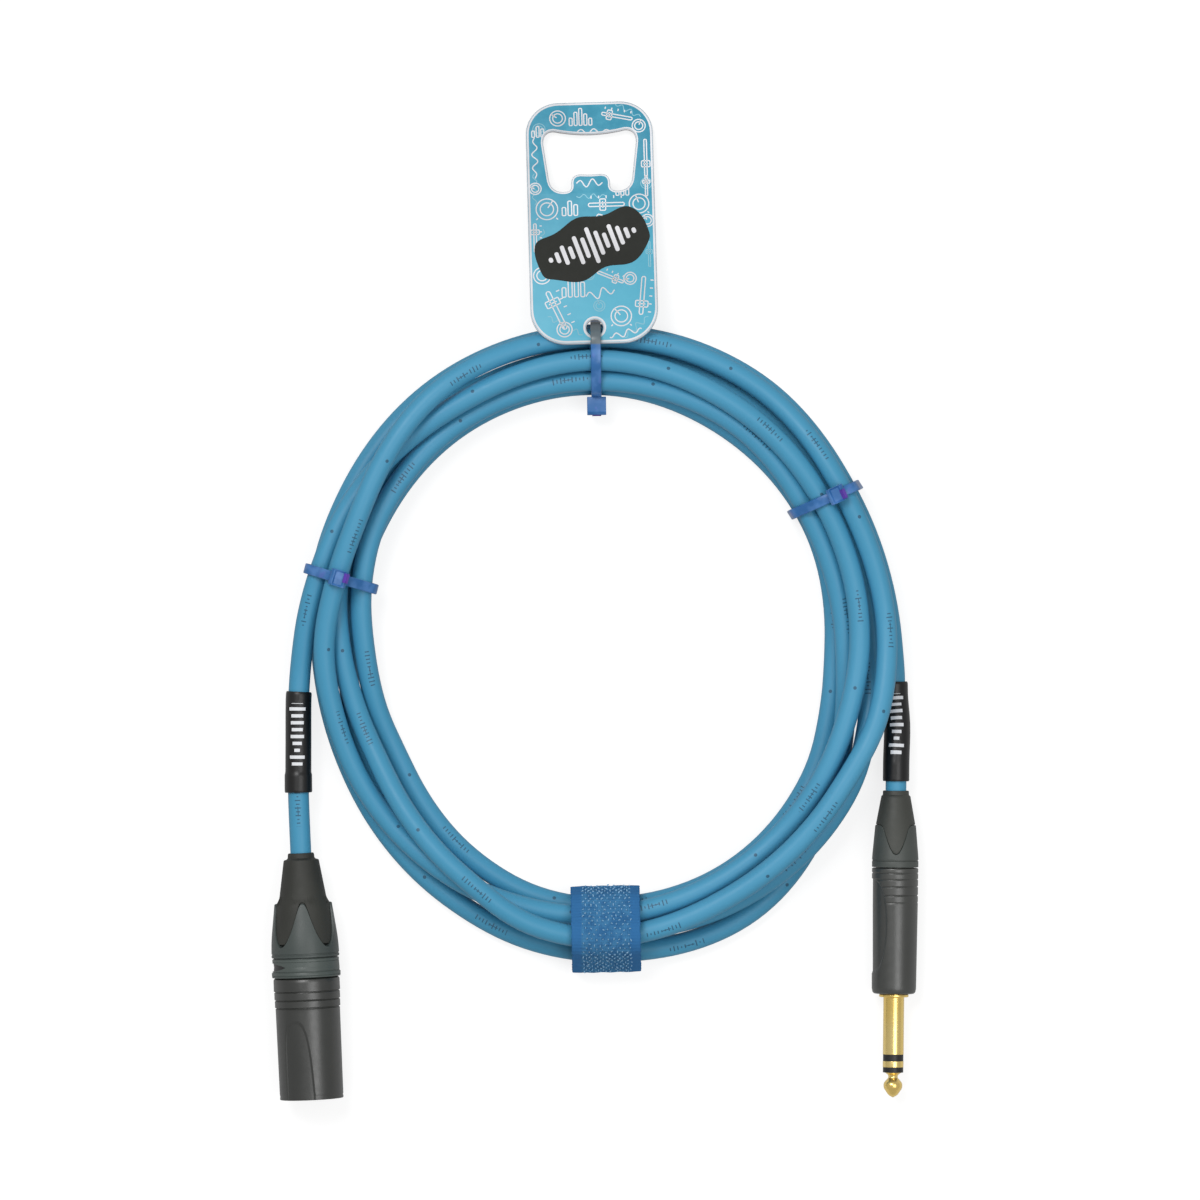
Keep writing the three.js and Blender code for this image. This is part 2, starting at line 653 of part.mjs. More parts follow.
function placeAcross(mesh, angle) {
  mesh.applyMatrix4(sectionBasis(angle));
  return mesh;
}

function sideTie(name, tie) {
  const outlines = bandOutlines(strandsWithin(tie.angle, tie.width / 2), tie.thickness);
  const [left, right] = [tie.head - 2, tie.head + 2].map((x) => topOf(outlines.outer, x));
  const head = tieHead(5.6, 3.6, 5.2)
    .rotateZ(Math.atan2(right - left, 4))
    .translate(tie.head, (left + right) / 2 - 0.5, 0);
  return placeAcross(meshOf(name, join(bandGeometry(outlines, tie.width), head), tieNylon), tie.angle);
}

// Where the outermost top strand passes beneath the tag's rim.
const outerStrand = finePath
  .filter((point) => Math.abs(point.x) < 8 && point.y > 0)
  .reduce((a, b) => (b.y * 2 + b.z > a.y * 2 + a.z ? b : a));
const hingeHeight = outerStrand.z + tag.clearance;

// The top tie also goes round the tag's rim and down through its hole. Its head is at the inner side.
function tagTie() {
  const circles = strandsWithin(topTie.angle, topTie.width / 2);
  circles.push({ x: tag.hingeY - coilCentre.y, y: hingeHeight, radius: tag.loop });
  const outlines = bandOutlines(circles, topTie.thickness);
  const inside = Math.min(...outlines.inner.map(([x]) => x));
  const head = tieHead(6, 5.2, 6).rotateZ(Math.PI / 2).translate(inside - gap, 7.2, 0);
  return placeAcross(meshOf("top_tie", join(bandGeometry(outlines, topTie.width), head), tieNylon), topTie.angle);
}

// The part of a convex outline above a height, from its inner end over the top to its outer end.
function clippedAbove(outline, height) {
  const ends = outline.flatMap((a, i) => {
    const b = outline[(i + 1) % outline.length];
    if ((a[1] - height) * (b[1] - height) >= 0) return [];
    const u = (height - a[1]) / (b[1] - a[1]);
    return [[a[0] + u * (b[0] - a[0]), height]];
  });
  return [...ends, ...outline.filter(([, y]) => y > height)].sort((a, b) => a[0] - b[0]);
}

// The strap's flap follows the band's upper side, from its inner tip to its outer tip.
function flapOutline(circles) {
  const start = slack + strap.thickness + gap;
  const [inside, outside] = [start, start + strap.flap].map((offset) =>
    clippedAbove(hullOutline(circles, offset), strap.flapFoot));
  return [...inside, ...outside.reverse()];
}

function strapPieces() {
  const circles = strandsWithin(strap.angle, strap.width / 2);
  circles.push({ x: strap.inner, y: strap.tip, radius: 0.4 }, { x: strap.outer, y: strap.tip, radius: 0.4 });
  const outlines = bandOutlines(circles, strap.thickness);
  const flap = extruded(polygon(flapOutline(circles)), strap.width).translate(0, 0, -strap.width / 2);
  const hinge = vector(Math.min(...flapOutline(circles).map(([x]) => x)) + 0.3, strap.flapFoot, 0)
    .applyMatrix4(sectionBasis(strap.angle));
  console.log(`strap flap hinge ${hinge.toArray().map((value) => value.toFixed(2))}`);
  return [
    placeAcross(meshOf("strap_band", bandGeometry(outlines, strap.width), strapFabric), strap.angle),
    placeAcross(meshOf("strap_flap", flap, strapFabric), strap.angle),
  ];
}

// ---- tag ----------------------------------------------------------------------------------------
function roundedPlate() {
  const { width, rim, length } = tag;
  const [half, low, high] = [width / 2, 11, 10];
  const shape = new THREE.Shape();
  shape.moveTo(-half + low, -rim);
  shape.lineTo(half - low, -rim);
  shape.absarc(half - low, low - rim, low, -Math.PI / 2, 0, false);
  shape.absarc(half - high, length - high, high, 0, Math.PI / 2, false);
  shape.absarc(high - half, length - high, high, Math.PI / 2, Math.PI, false);
  shape.absarc(low - half, low - rim, low, Math.PI, Math.PI * 1.5, false);
  shape.closePath();
  return shape;
}

// The bottle opener's mouth: a dipped top edge, sides that taper, and two lobes beside a tongue.
function openerMouth() {
  const [bottom, top] = [47.0, 66.4];
  const path = new THREE.Path();
  path.moveTo(-6, bottom + 2.4);
  path.quadraticCurveTo(-5.6, bottom, -8.2, bottom);
  path.quadraticCurveTo(-12.4, bottom, -12.8, bottom + 4.5);
  path.lineTo(-14.2, top - 4);
  path.quadraticCurveTo(-14.4, top, -11, top);
  path.quadraticCurveTo(0, top - 2.6, 11, top);
  path.quadraticCurveTo(14.4, top, 14.2, top - 4);
  path.lineTo(12.8, bottom + 4.5);
  path.quadraticCurveTo(12.4, bottom, 8.2, bottom);
  path.quadraticCurveTo(5.6, bottom, 6, bottom + 2.4);
  path.quadraticCurveTo(6, bottom + 5.5, 3, bottom + 5.5);
  path.lineTo(-3, bottom + 5.5);
  path.quadraticCurveTo(-6, bottom + 5.5, -6, bottom + 2.4);
  return path;
}

const tagTilt = Math.asin((hingeHeight - tag.thickness / 2) / tag.length); // its far edge rests on the table

function tagMesh() {
  const shape = roundedPlate();
  const hole = new THREE.Path();
  hole.absarc(0, tag.hole.at, tag.hole.radius, 0, Math.PI * 2, true);
  shape.holes.push(hole, openerMouth());
  const plate = extruded(shape, tag.thickness, 5).translate(0, 0, -tag.thickness / 2);
  const mesh = meshOf("tag", plate, tagPlate);
  mesh.position.set(0, tag.hingeY, hingeHeight);
  mesh.rotation.set(-tagTilt, 0, tag.lean * radians, "ZYX");
  return mesh;
}

console.log(`tag hinge height ${hingeHeight.toFixed(2)} mm, tilt ${(tagTilt / radians).toFixed(2)} degrees`);

const cable = new THREE.Group();
cable.add(cord, xlrPlug, jackPlug, tagTie(), sideTie("right_tie", rightTie), sideTie("left_tie", leftTie));
cable.add(...strapPieces(), tagMesh());

export default cable;
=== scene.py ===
import math

import bmesh
import bpy
import numpy as np
from mathutils import Matrix, Vector
from mathutils.geometry import tessellate_polygon


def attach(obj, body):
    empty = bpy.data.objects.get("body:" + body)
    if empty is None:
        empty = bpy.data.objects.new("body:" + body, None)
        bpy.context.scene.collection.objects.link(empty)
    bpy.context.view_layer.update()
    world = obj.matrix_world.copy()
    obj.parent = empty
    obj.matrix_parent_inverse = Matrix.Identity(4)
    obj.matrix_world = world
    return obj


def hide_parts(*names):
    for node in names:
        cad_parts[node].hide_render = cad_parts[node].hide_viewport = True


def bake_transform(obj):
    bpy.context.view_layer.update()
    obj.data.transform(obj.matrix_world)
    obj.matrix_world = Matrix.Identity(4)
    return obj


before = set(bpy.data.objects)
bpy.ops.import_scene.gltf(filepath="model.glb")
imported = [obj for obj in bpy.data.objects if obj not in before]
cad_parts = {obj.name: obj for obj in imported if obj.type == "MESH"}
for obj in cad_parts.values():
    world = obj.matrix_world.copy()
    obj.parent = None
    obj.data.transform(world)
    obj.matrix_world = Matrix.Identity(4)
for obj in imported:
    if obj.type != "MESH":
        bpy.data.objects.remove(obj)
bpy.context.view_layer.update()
mm = 0.001
radians = math.pi / 180
print("frame loaded:", len(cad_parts), "nodes")


def linked(name, data):  # a new object, put in the scene
    made = bpy.data.objects.new(name, data)
    bpy.context.scene.collection.objects.link(made)
    return made


cameraSettings = {
    "aim": Vector((1.5, 0, 8)) * mm,
    "distance": 2.6,
    "fieldWidth": 0.367,  # what the view takes in at the aim
    "sensor": 36,
}
camera = linked("viewCamera", bpy.data.cameras.new("viewCamera"))
camera.data.sensor_width = cameraSettings["sensor"]
camera.data.lens = cameraSettings["sensor"] * cameraSettings["distance"] / cameraSettings["fieldWidth"]
camera.data.clip_end = 20
camera.location = cameraSettings["aim"] + Vector((0, 0, cameraSettings["distance"]))
bpy.context.scene.camera = camera


def smooth(x, low, high):
    t = min(max((x - low) / (high - low), 0), 1)
    return t * t * (3 - 2 * t)


def through(keys, x):  # a smooth curve through (x, y) keys
    xs = [key[0] for key in keys]
    x = min(max(x, xs[0]), xs[-1])
    k = min(max(next((i for i, at in enumerate(xs) if at >= x), 1) - 1, 0), len(keys) - 2)

    def slope(i):
        before, after = keys[max(i - 1, 0)], keys[min(i + 1, len(keys) - 1)]
        return (after[1] - before[1]) / (after[0] - before[0])

    width = xs[k + 1] - xs[k]
    u = (x - xs[k]) / width
    value = keys[k][1] * (1 + 2 * u) * (1 - u) ** 2 + keys[k + 1][1] * u * u * (3 - 2 * u)
    return value + width * (slope(k) * u * (1 - u) ** 2 - slope(k + 1) * u * u * (1 - u))


def paint(red, green, blue):  # a colour on the 0-255 scale, as the shaders take it
    shares = [value / 255 for value in (red, green, blue)]
    return (*(c / 12.92 if c < 0.0404 else ((c + 0.055) / 1.055) ** 2.4 for c in shares), 1)


# shader maths

def operator(operation):
    return lambda self, *others: self.op(operation, *others)


class Value:
    def __init__(self, look, socket):
        self.look = look
        self.socket = socket

    def op(self, operation, *others):
        return self.look.math(operation, self, *others)

    def __rsub__(self, other):
        return self.look.math("SUBTRACT", other, self)

    def ramp(self, low, high):  # 0 below low, 1 above high, smooth between
        inputs = {"Value": self, "From Min": low, "From Max": high}
        return self.look.value("ShaderNodeMapRange", {"interpolation_type": "SMOOTHSTEP"}, inputs)

    __add__ = __radd__ = operator("ADD")
    __sub__ = operator("SUBTRACT")
    __mul__ = __rmul__ = operator("MULTIPLY")
    __truediv__ = operator("DIVIDE")
    __lt__ = operator("LESS_THAN")
    __gt__ = operator("GREATER_THAN")
    __abs__ = operator("ABSOLUTE")
    fract = operator("FRACT")


class Look:
    def __init__(self, name, colour, roughness=0.5, metallic=0.0, **sockets):
        self.material = bpy.data.materials.new(name)
        self.material.use_nodes = True
        self.tree = self.material.node_tree
        self.shader = self.tree.nodes["Principled BSDF"]
        self.give("Base Color", colour)
        self.give("Roughness", roughness)
        self.give("Metallic", metallic)
        for key, value in sockets.items():
            self.give(key.replace("_", " "), value)

    def give(self, socketName, value):
        self.plug(self.shader.inputs[socketName], value)

    def plug(self, socket, value):
        if isinstance(value, Value):
            self.tree.links.new(value.socket, socket)
        else:
            socket.default_value = value

    def node(self, kind, settings=None, inputs=None):
        made = self.tree.nodes.new(kind)
        for key, value in (settings or {}).items():
            setattr(made, key, value)
        for key, value in (inputs or {}).items():
            self.plug(made.inputs[key], value)
        return made

    def value(self, kind, settings=None, inputs=None, output=0):
        return Value(self, self.node(kind, settings, inputs).outputs[output])

    def math(self, operation, *values):
        return self.value("ShaderNodeMath", {"operation": operation}, dict(enumerate(values)))

    def axes(self, vector):
        split = self.node("ShaderNodeSeparateXYZ", None, {"Vector": vector})
        return [Value(self, output) for output in split.outputs]

    def place(self):  # where on the object, in metres
        return self.value("ShaderNodeTexCoord", output="Object")

    def alongCord(self):  # the share of the way round a tube, and the millimetres along it
        return self.axes(self.value("ShaderNodeUVMap", {"uv_map": "alongCord"}))[:2]

    def noise(self, scale, detail=3.0, roughness=0.5):
        inputs = {"Vector": self.place(), "Scale": scale, "Detail": detail, "Roughness": roughness}
        return self.value("ShaderNodeTexNoise", {"noise_dimensions": "3D"}, inputs)

    def chance(self, number):  # an even random number for each number given
        return self.value("ShaderNodeTexWhiteNoise", {"noise_dimensions": "1D"}, {"W": number})

    def mix(self, factor, first, second):
        return self.value("ShaderNodeMix", {"data_type": "RGBA"}, {0: factor, 6: first, 7: second}, 2)

    def bump(self, height, distance, strength=1.0):
        inputs = {"Height": height, "Distance": distance, "Strength": strength}
        self.give("Normal", self.value("ShaderNodeBump", None, inputs))


# meshes

def newMesh(name, vertices, faces, look):
    mesh = bpy.data.meshes.new(name)
    mesh.from_pydata([tuple(v) for v in vertices], [], faces)
    mesh.materials.append(look.material)
    return mesh


def finishMesh(name, mesh, sharp=35):
    work = bmesh.new()
    work.from_mesh(mesh)
    bmesh.ops.remove_doubles(work, verts=work.verts, dist=1e-7)
    bmesh.ops.dissolve_degenerate(work, edges=work.edges, dist=1e-7)
    if work.calc_volume(signed=True) < 0:
        bmesh.ops.reverse_faces(work, faces=work.faces)
    work.to_mesh(mesh)
    work.free()
    mesh.shade_smooth()
    mesh.set_sharp_from_angle(angle=sharp * radians)
    return linked(name, mesh)


def ringFaces(rows, count, closed):  # faces over rows of vertices, where each row is a closed loop
    faces = []
    for i in range(rows if closed else rows - 1):
        a, b = i * count, (i + 1) % rows * count
        faces += [(a + k, a + (k + 1) % count, b + (k + 1) % count, b + k) for k in range(count)]
    if not closed:
        faces += [tuple(range(count)), tuple(range((rows - 1) * count, rows * count))]
    return faces


def softened(points, steps=3):  # (along, radius, fillet) corners to a line with rounded corners
    line = []
    for i, (along, radius, fillet) in enumerate(points):
        here = Vector((along, radius))
        if fillet == 0 or i in (0, len(points) - 1):
            line.append(here)
            continue
        before = Vector(points[i - 1][:2]) - here
        after = Vector(points[i + 1][:2]) - here
        reach = min(fillet, before.length * 0.45, after.length * 0.45)
        start, end = here + before.normalized() * reach, here + after.normalized() * reach
        for k in range(steps + 1):
            t = k / steps
            line.append(start * (1 - t) ** 2 + here * (2 * t * (1 - t)) + end * t ** 2)
    return [(p.x, p.y) for p in line]


def evenTurn(count):
    return [2 * math.pi * i / count for i in range(count)]


def turned(name, section, angles, place, look, sharp=35):
    # a body turned about a plug's axis; section(angle) is its closed outline, (along, radius) in millimetres
    rings = [section(angle) for angle in angles]
    radii = [radius for ring in rings for _, radius in ring]
    vertices = [
        place @ (Vector((radius * math.sin(angle), -along, radius * math.cos(angle))) * mm)
        for angle, ring in zip(angles, rings) for along, radius in ring]
    faces = [
        face for face in ringFaces(len(rings), len(rings[0]), True)
        if radii[face[0]] > 1e-6 or radii[face[1]] > 1e-6]
    return finishMesh(name, newMesh(name, vertices, faces, look), sharp)


# the cord's route, in millimetres: the coil's laps are counted from the three-pin plug

cordSettings = {
    "radius": 3.2,
    "centre": (1.5, -14.7),
    "start": 265,
    "end": 2255,
    "startRadius": 92,
    "startHeight": 10.5,
    "endHeight": 4.9,
    "beside": 7.0,
    "above": 7.6,
    "humpRadius": 90,
    "sag": 3.35,
    "tieLift": 1.4,
    "tieReach": 22,
    "sides": 24,
    "step": 3.0,
    "settleStep": 5,  # degrees between the points that settle
    "settleReach": 14,  # steps either way that a hump lifts
}
# radii of the laps at chosen angles, clockwise from the top, and their order from the table up
coilRows = [
    (0, [87.8, 94.9, 88.9, 80.6, 81.7, 96.0], "325401"),
    (30, [84.5, 93.2, 87.4, 77.8, 80.1, 94.5], "325401"),
    (60, [81.0, 87.9, 82.3, 75.1, 75.5, 89.3], "325401"),
    (90, [79.1, 87.5, 82.1, 71.9, 75.0, 89.6], "325401"),
    (105, [78.2, 87.1, 84.8, 72.9, 77.6, 94.3], "534201"),
    (120, [78.5, 84.9, 87.4, 75.7, 82.8], "34201"),
    (150, [79.7, 85.3, 87.8, 79.1, 93.1], "34201"),
    (180, [81.7, 88.2, 86.2, 79.4, 93.0], "34201"),
    (195, [82.2, 86.4, 85.0, 78.4, 91.7], "34201"),
    (210, [83.0, 81.3, 82.4, 75.8, 89.2], "34201"),
    (240, [83.6, 76.0, 78.0, 70.4, 85.3], "34201"),
    (255, [83.6, 76.6, 77.9, 70.7, 84.6], "24310"),
    (270, [90.8, 84.1, 79.2, 77.5, 72.0, 85.4], "354201"),
    (285, [88.7, 83.0, 82.5, 77.6, 75.3, 88.3], "352401"),
    (300, [87.9, 84.1, 84.1, 78.2, 78.4, 90.0], "352401"),
    (330, [86.1, 93.0, 87.4, 80.4, 81.3, 94.5], "352401"),
]
tieAngles = {"top": 359.2, "right": 57, "left": 285, "strap": 178.8}
plugSettings = {
    "xlr": {"tip": (-89.9, -77.3, 10.5), "lean": 0.0447},
    "jack": {"tip": (92.05, -56.9, 7.2), "lean": -0.0103},
}


def coilKeys():
    s = cordSettings
    keys = [(s["start"] - 10, s["startRadius"] + 2.4, None), (s["start"], s["startRadius"], None)]
    for turn in range(8):
        for at, radii, stack in coilRows:
            angle = turn * 360 + at
            lap = (angle - s["start"]) // 360
            if s["start"] < angle <= s["end"] + 10 and lap < len(radii):
                keys.append((angle, radii[lap], stack.index(str(lap))))
    keys.append((s["end"] + 25, 104, None))
    return keys


def coilFloor(angle):
    lifts = []
    for name, at in tieAngles.items():
        away = min((angle - at) % 360, 360 - (angle - at) % 360)
        u = min(max(0, away - (8 if name == "strap" else 0)) / cordSettings["tieReach"], 1)
        lifts.append(0.5 + 0.5 * math.cos(u * math.pi))
    return cordSettings["sag"] + cordSettings["tieLift"] * max(lifts)


def coilPoints():
    s = cordSettings
    keys = coilKeys()
    ranked = [key for key in keys if key[2] is not None and key[0] < s["end"]]
    step, reach = s["settleStep"], s["settleReach"]
    lap = 360 // step
    angles = np.arange(s["start"], s["end"] + 1, step)
    count = len(angles)
    radius = np.array([through(keys, a) for a in angles])
    rank = np.array([min(ranked, key=lambda key: abs(key[0] - a))[2] for a in angles])
    along = np.concatenate([[0], np.cumsum(step * radians * radius[:-1])])
    floor = np.array([coilFloor(a) for a in angles])
    floor[0], floor[-1] = s["startHeight"], s["endHeight"]
    heights, change = floor.copy(), 1
    while change > 0.005:  # each strand settles on those beneath it, bending no tighter than the hump
        target = floor.copy()
        for i in range(count):
            for j in range(i % lap, count, lap):
                sideways = abs(radius[i] - radius[j]) / s["beside"]
                if rank[j] < rank[i] and sideways < 1:
                    target[i] = max(target[i], heights[j] + s["above"] * math.sqrt(1 - sideways ** 2))
        settled = np.array([
            max(target[k] - (along[i] - along[k]) ** 2 / (2 * s["humpRadius"])
                for k in range(max(0, i - reach), min(count, i + reach + 1)))
            for i in range(count)])
        change = np.abs(settled - heights).max()
        heights = settled
    for _ in range(3):
        heights[1:-1] = (heights[:-2] + 2 * heights[1:-1] + heights[2:]) / 4
    turn = angles * radians
    x, y = s["centre"]
    return np.stack([x + radius * np.sin(turn), y + radius * np.cos(turn), heights], 1)


def alongPlug(plug, distance):
    x, y, z = plugSettings[plug]["tip"]
    lean = plugSettings[plug]["lean"]
    return np.array([x + distance * math.sin(lean), y - distance * math.cos(lean), z])


def lengths(points):  # how far along a line each of its points is
    return np.concatenate([[0], np.cumsum(np.linalg.norm(np.diff(points, axis=0), axis=1))])


def slopeAt(before, here, after, ta, tb, tc):  # of the curve through three points, at the middle one
    return (here - before) / (tb - ta) - (after - before) / (tc - ta) + (after - here) / (tc - tb)


def resampled(points, step):  # a smooth line through the points, cut into even steps
    points = np.array(points, float)
    chord = np.sqrt(np.linalg.norm(np.diff(points, axis=0), axis=1))
    knots = np.concatenate([[0], np.cumsum(chord)])
    dense = [points[0]]
    for i in range(len(points) - 1):
        ends = [max(i - 1, 0), i, i + 1, min(i + 2, len(points) - 1)]
        p0, p1, p2, p3 = points[ends]
        t0, t1, t2, t3 = knots[ends]
        m1 = (p2 - p1) if t1 == t0 else (t2 - t1) * slopeAt(p0, p1, p2, t0, t1, t2)
        m2 = (p2 - p1) if t3 == t2 else (t2 - t1) * slopeAt(p1, p2, p3, t1, t2, t3)
        for u in np.arange(1, 13) / 12:
            dense.append((2 * u ** 3 - 3 * u ** 2 + 1) * p1 + (u ** 3 - 2 * u ** 2 + u) * m1
                         + (-2 * u ** 3 + 3 * u ** 2) * p2 + (u ** 3 - u ** 2) * m2)
    dense = np.array(dense)
    length = lengths(dense)
    even = np.linspace(0, length[-1], max(2, round(length[-1] / step) + 1))
    return np.stack([np.interp(even, length, dense[:, k]) for k in range(3)], 1)


coilLine = coilPoints()
startDirection = np.array([0.061, 0.998, 0])
endDirection = np.array([0.02, -1, 0])
cordLine = resampled([
    alongPlug("xlr", 4),
    alongPlug("xlr", -4),
    alongPlug("xlr", -8),
    (-90.62, -59, 10.5),
    (-90.64, -43.4, 10.5),
    coilLine[0] - startDirection * 7,
    coilLine[0] - startDirection * 3.6,
    *coilLine,
    coilLine[-1] + endDirection * 3.6,
    coilLine[-1] + endDirection * 7,
    (92.45, -38.5, 6.0),
    alongPlug("jack", -8),
    alongPlug("jack", -4),
    alongPlug("jack", 5),
], cordSettings["step"])


def ringsAlong(points, radii, sides):
    # rings square to a line, carried along it without twist
    points = np.array(points, float)
    forward = np.gradient(points, axis=0)
    forward /= np.linalg.norm(forward, axis=1)[:, None]
    side = np.cross(forward[0], (0, 0, 1))
    rings = []
    for point, direction, radius in zip(points, forward, radii):
        side = side - direction * side.dot(direction)
        side /= np.linalg.norm(side)
        up = np.cross(side, direction)
        turn = np.arange(sides) / sides * 2 * math.pi
        rings.append(point + radius * (np.cos(turn)[:, None] * side + np.sin(turn)[:, None] * up))
    return rings


def tubeAlong(name, points, radii, sides, look, bore=None):
    # a rod with flat ends, or a tube with a bore, with a UV map: round it, and millimetres along it
    rings = ringsAlong(points, radii, sides)
    length = lengths(np.array(points, float))
    if bore:
        rings += ringsAlong(points, [bore] * len(points), sides)[::-1]
        length = np.concatenate([length, length[::-1]])
    faces = ringFaces(len(rings), sides, bool(bore))
    mesh = newMesh(name, np.concatenate(rings) * mm, faces, look)
    uv = mesh.uv_layers.new(name="alongCord")
    for polygon in mesh.polygons:
        columns = [v % sides for v in polygon.vertices]
        wraps = len(columns) == 4 and 0 in columns and sides - 1 in columns
        for loop, vertex in zip(polygon.loop_indices, polygon.vertices):
            column = vertex % sides
            u = (column + sides if wraps and column == 0 else column) / sides
            uv.data[loop].uv = (u, length[vertex // sides])
    work = bmesh.new()
    work.from_mesh(mesh)
    bmesh.ops.recalc_face_normals(work, faces=work.faces)
    work.to_mesh(mesh)
    work.free()
    mesh.shade_smooth()
    mesh.set_sharp_from_angle(angle=50 * radians)
    return linked(name, mesh)


def cordLook():
    look = Look("cordVinyl", paint(74, 152, 188), 0.42, Specular_IOR_Level=0.35)
    around, along = look.alongCord()
    base = look.mix(look.noise(9, 2).ramp(0.3, 0.75), paint(68, 147, 183), paint(77, 156, 193))
    # the print: groups of small ticks of uneven length, with a dot between the groups
    side = abs(around - ((along / 118).op("SINE") * 0.07 + 0.25)) * 20.1
    group = (along / 61).fract()
    pitch = along / 1.15
    length = look.chance(pitch.op("FLOOR"))
    tick = (abs(pitch.fract() - 0.5) < 0.16) * (side < length * 0.75 + 0.25) * (group > 0.2) * (group < 0.38)
    cross = (side < 0.14) * (group > 0.24) * (group < 0.34) * ((along / 6.1).fract() > 0.5)
    dot = (abs(group - 0.7) * 61).op("POWER", 2) + side.op("POWER", 2) < 0.3
    printed = (tick + cross + dot).op("MINIMUM", 1) * 0.72
    look.give("Base Color", look.mix(printed, base, paint(38, 62, 84)))
    look.give("Roughness", look.noise(300, 3) * 0.14 + 0.38)
    look.bump(look.noise(1500, 2) + look.noise(70, 2) * 2, 0.00005, 0.5)
    return look


cordFinish = cordLook()
cord = tubeAlong("cord", cordLine, [cordSettings["radius"]] * len(cordLine), cordSettings["sides"], cordFinish)
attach(cord, "cable")
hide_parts("coil", "xlr_tail", "jack_tail")
cordEnds = {}
for plug, start, end in (("xlr", 4.3, 33), ("jack", 5.3, 26)):
    line = [alongPlug(plug, d) for d in np.linspace(start, end, 6)]
    cordEnds[plug] = tubeAlong(f"{plug}CordEnd", line, [2.6] + [3.15] * 4 + [2.9], 20, cordFinish)
    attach(cordEnds[plug], "cable")
    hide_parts(f"{plug}_cord_end")
print("cord made")


# marker sleeves

def markerLook():
    look = Look("markerBlack", paint(14, 14, 15), 0.38)
    around, along = look.alongCord()
    pitch = along / 2.1
    height = look.chance(pitch.op("FLOOR") + 4)
    bars = (abs(pitch.fract() - 0.5) < 0.24) * (abs(around - 0.24) < height * 0.09 + 0.025)
    printed = bars * (along > 3.5) * (along < 22.5)
    look.give("Base Color", look.mix(printed, paint(14, 14, 15), paint(226, 228, 232)))
    look.bump(look.noise(900, 3), 0.00005, 0.5)
    return look


markerFinish = markerLook()
sleeveSettings = {
    "xlr": {
        "from": -28,
        "to": -59,
        "radii": [(0, 3.75), (0.5, 3.95), (24.6, 3.98), (25.4, 4.2), (30.4, 4.22), (31, 4.0)],
    },
    "jack": {"from": -25, "to": -55.6, "radii": [(0, 3.8), (0.5, 4.02), (30, 4.05), (30.6, 3.85)]},
}
sleeves = {}
for plug, settings in sleeveSettings.items():
    half = cordLine[:80] if plug == "xlr" else cordLine[-80:]
    half = half[np.argsort(-half[:, 1])]
    spots = np.arange(settings["from"], settings["to"], -0.4)
    line = np.stack([np.interp(spots, half[::-1, 1], half[::-1, k]) for k in range(3)], 1)
    radii = [np.interp(settings["from"] - y, *zip(*settings["radii"])) for y in spots]
    sleeves[plug] = tubeAlong(f"{plug}Sleeve", line, radii, 28, markerFinish, bore=3.28)
    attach(sleeves[plug], "cable")
    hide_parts(f"{plug}_sleeve")
print("sleeves made")


# plugs

def mouldedLook(name, colour, roughness, grain=0.00004, **sockets):  # a plastic or rubber with fine grain
    look = Look(name, paint(*colour), roughness, **sockets)
    darker = tuple(c * 0.86 for c in colour)
    look.give("Base Color", look.mix(look.noise(40, 3).ramp(0.35, 0.7), paint(*darker), paint(*colour)))
    look.give("Roughness", look.noise(500, 3) * 0.16 + (roughness - 0.08))
    look.bump(look.noise(3000, 2), grain, 0.6)
    return look


def goldLook():
    look = Look("gold", paint(255, 224, 140), 0.26, 1.0)
    look.give("Roughness", look.noise(900, 3, 0.6) * 0.12 + 0.22)
    patches = look.noise(60, 2).ramp(0.3, 0.8)
    look.give("Base Color", look.mix(patches, paint(254, 218, 126), paint(255, 230, 156)))
    return look


rubberFinish = mouldedLook("softRubber", (50, 51, 46), 0.62, 0.00006)
bushingFinish = mouldedLook("hardPlastic", (68, 76, 74), 0.42)
collarFinish = mouldedLook("collarGrey", (78, 87, 84), 0.4)
shellFinish = mouldedLook("shellMetal", (40, 42, 39), 0.36, 0.00002, Specular_IOR_Level=0.95)
blackFinish = mouldedLook("insulation", (26, 27, 28), 0.42, 0.00002)
goldFinish = goldLook()
jackFinish = mouldedLook("jackPlastic", (74, 79, 76), 0.46)
jackRubberFinish = mouldedLook("jackRubber", (66, 68, 63), 0.56, 0.00005)
jackShellFinish = mouldedLook("jackMetal", (56, 58, 55), 0.36, 0.00002, Specular_IOR_Level=0.95)
plugPlace = {
    plug: Matrix.Translation(Vector(settings["tip"]) * mm) @ Matrix.Rotation(settings["lean"], 4, "Z")
    for plug, settings in plugSettings.items()
}


def plugPiece(plug, name, section, angles, look, node, slotName, body="cable", sharp=35):
    piece = turned(f"{plug}{name}", section, angles, plugPlace[plug], look, sharp)
    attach(piece, body)
    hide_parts(node)
    return piece


def constant(points, steps=3):
    line = softened(points, steps)
    return lambda angle: line


def spread(line, start, end, count, radius):  # evenly spaced points of a tapering wall
    spots = [start + (end - start) * k / count for k in range(count + 1)]
    line += [(s, radius(s)) for s in spots]


def signedDegrees(angle):  # of a turn, from -180 to 180
    return angle / radians if angle < math.pi else angle / radians - 360


def fingerEdge(angle):  # where a finger of the three-pin plug's bushing starts, at an angle from its middle
    return through([
        (0, 15.2), (4, 15.4), (8, 16.5), (13, 18.9), (18, 21.5), (25, 24.6), (33, 27.0), (40, 28.2), (45, 28.5),
    ], abs((angle / radians + 45) % 90 - 45))


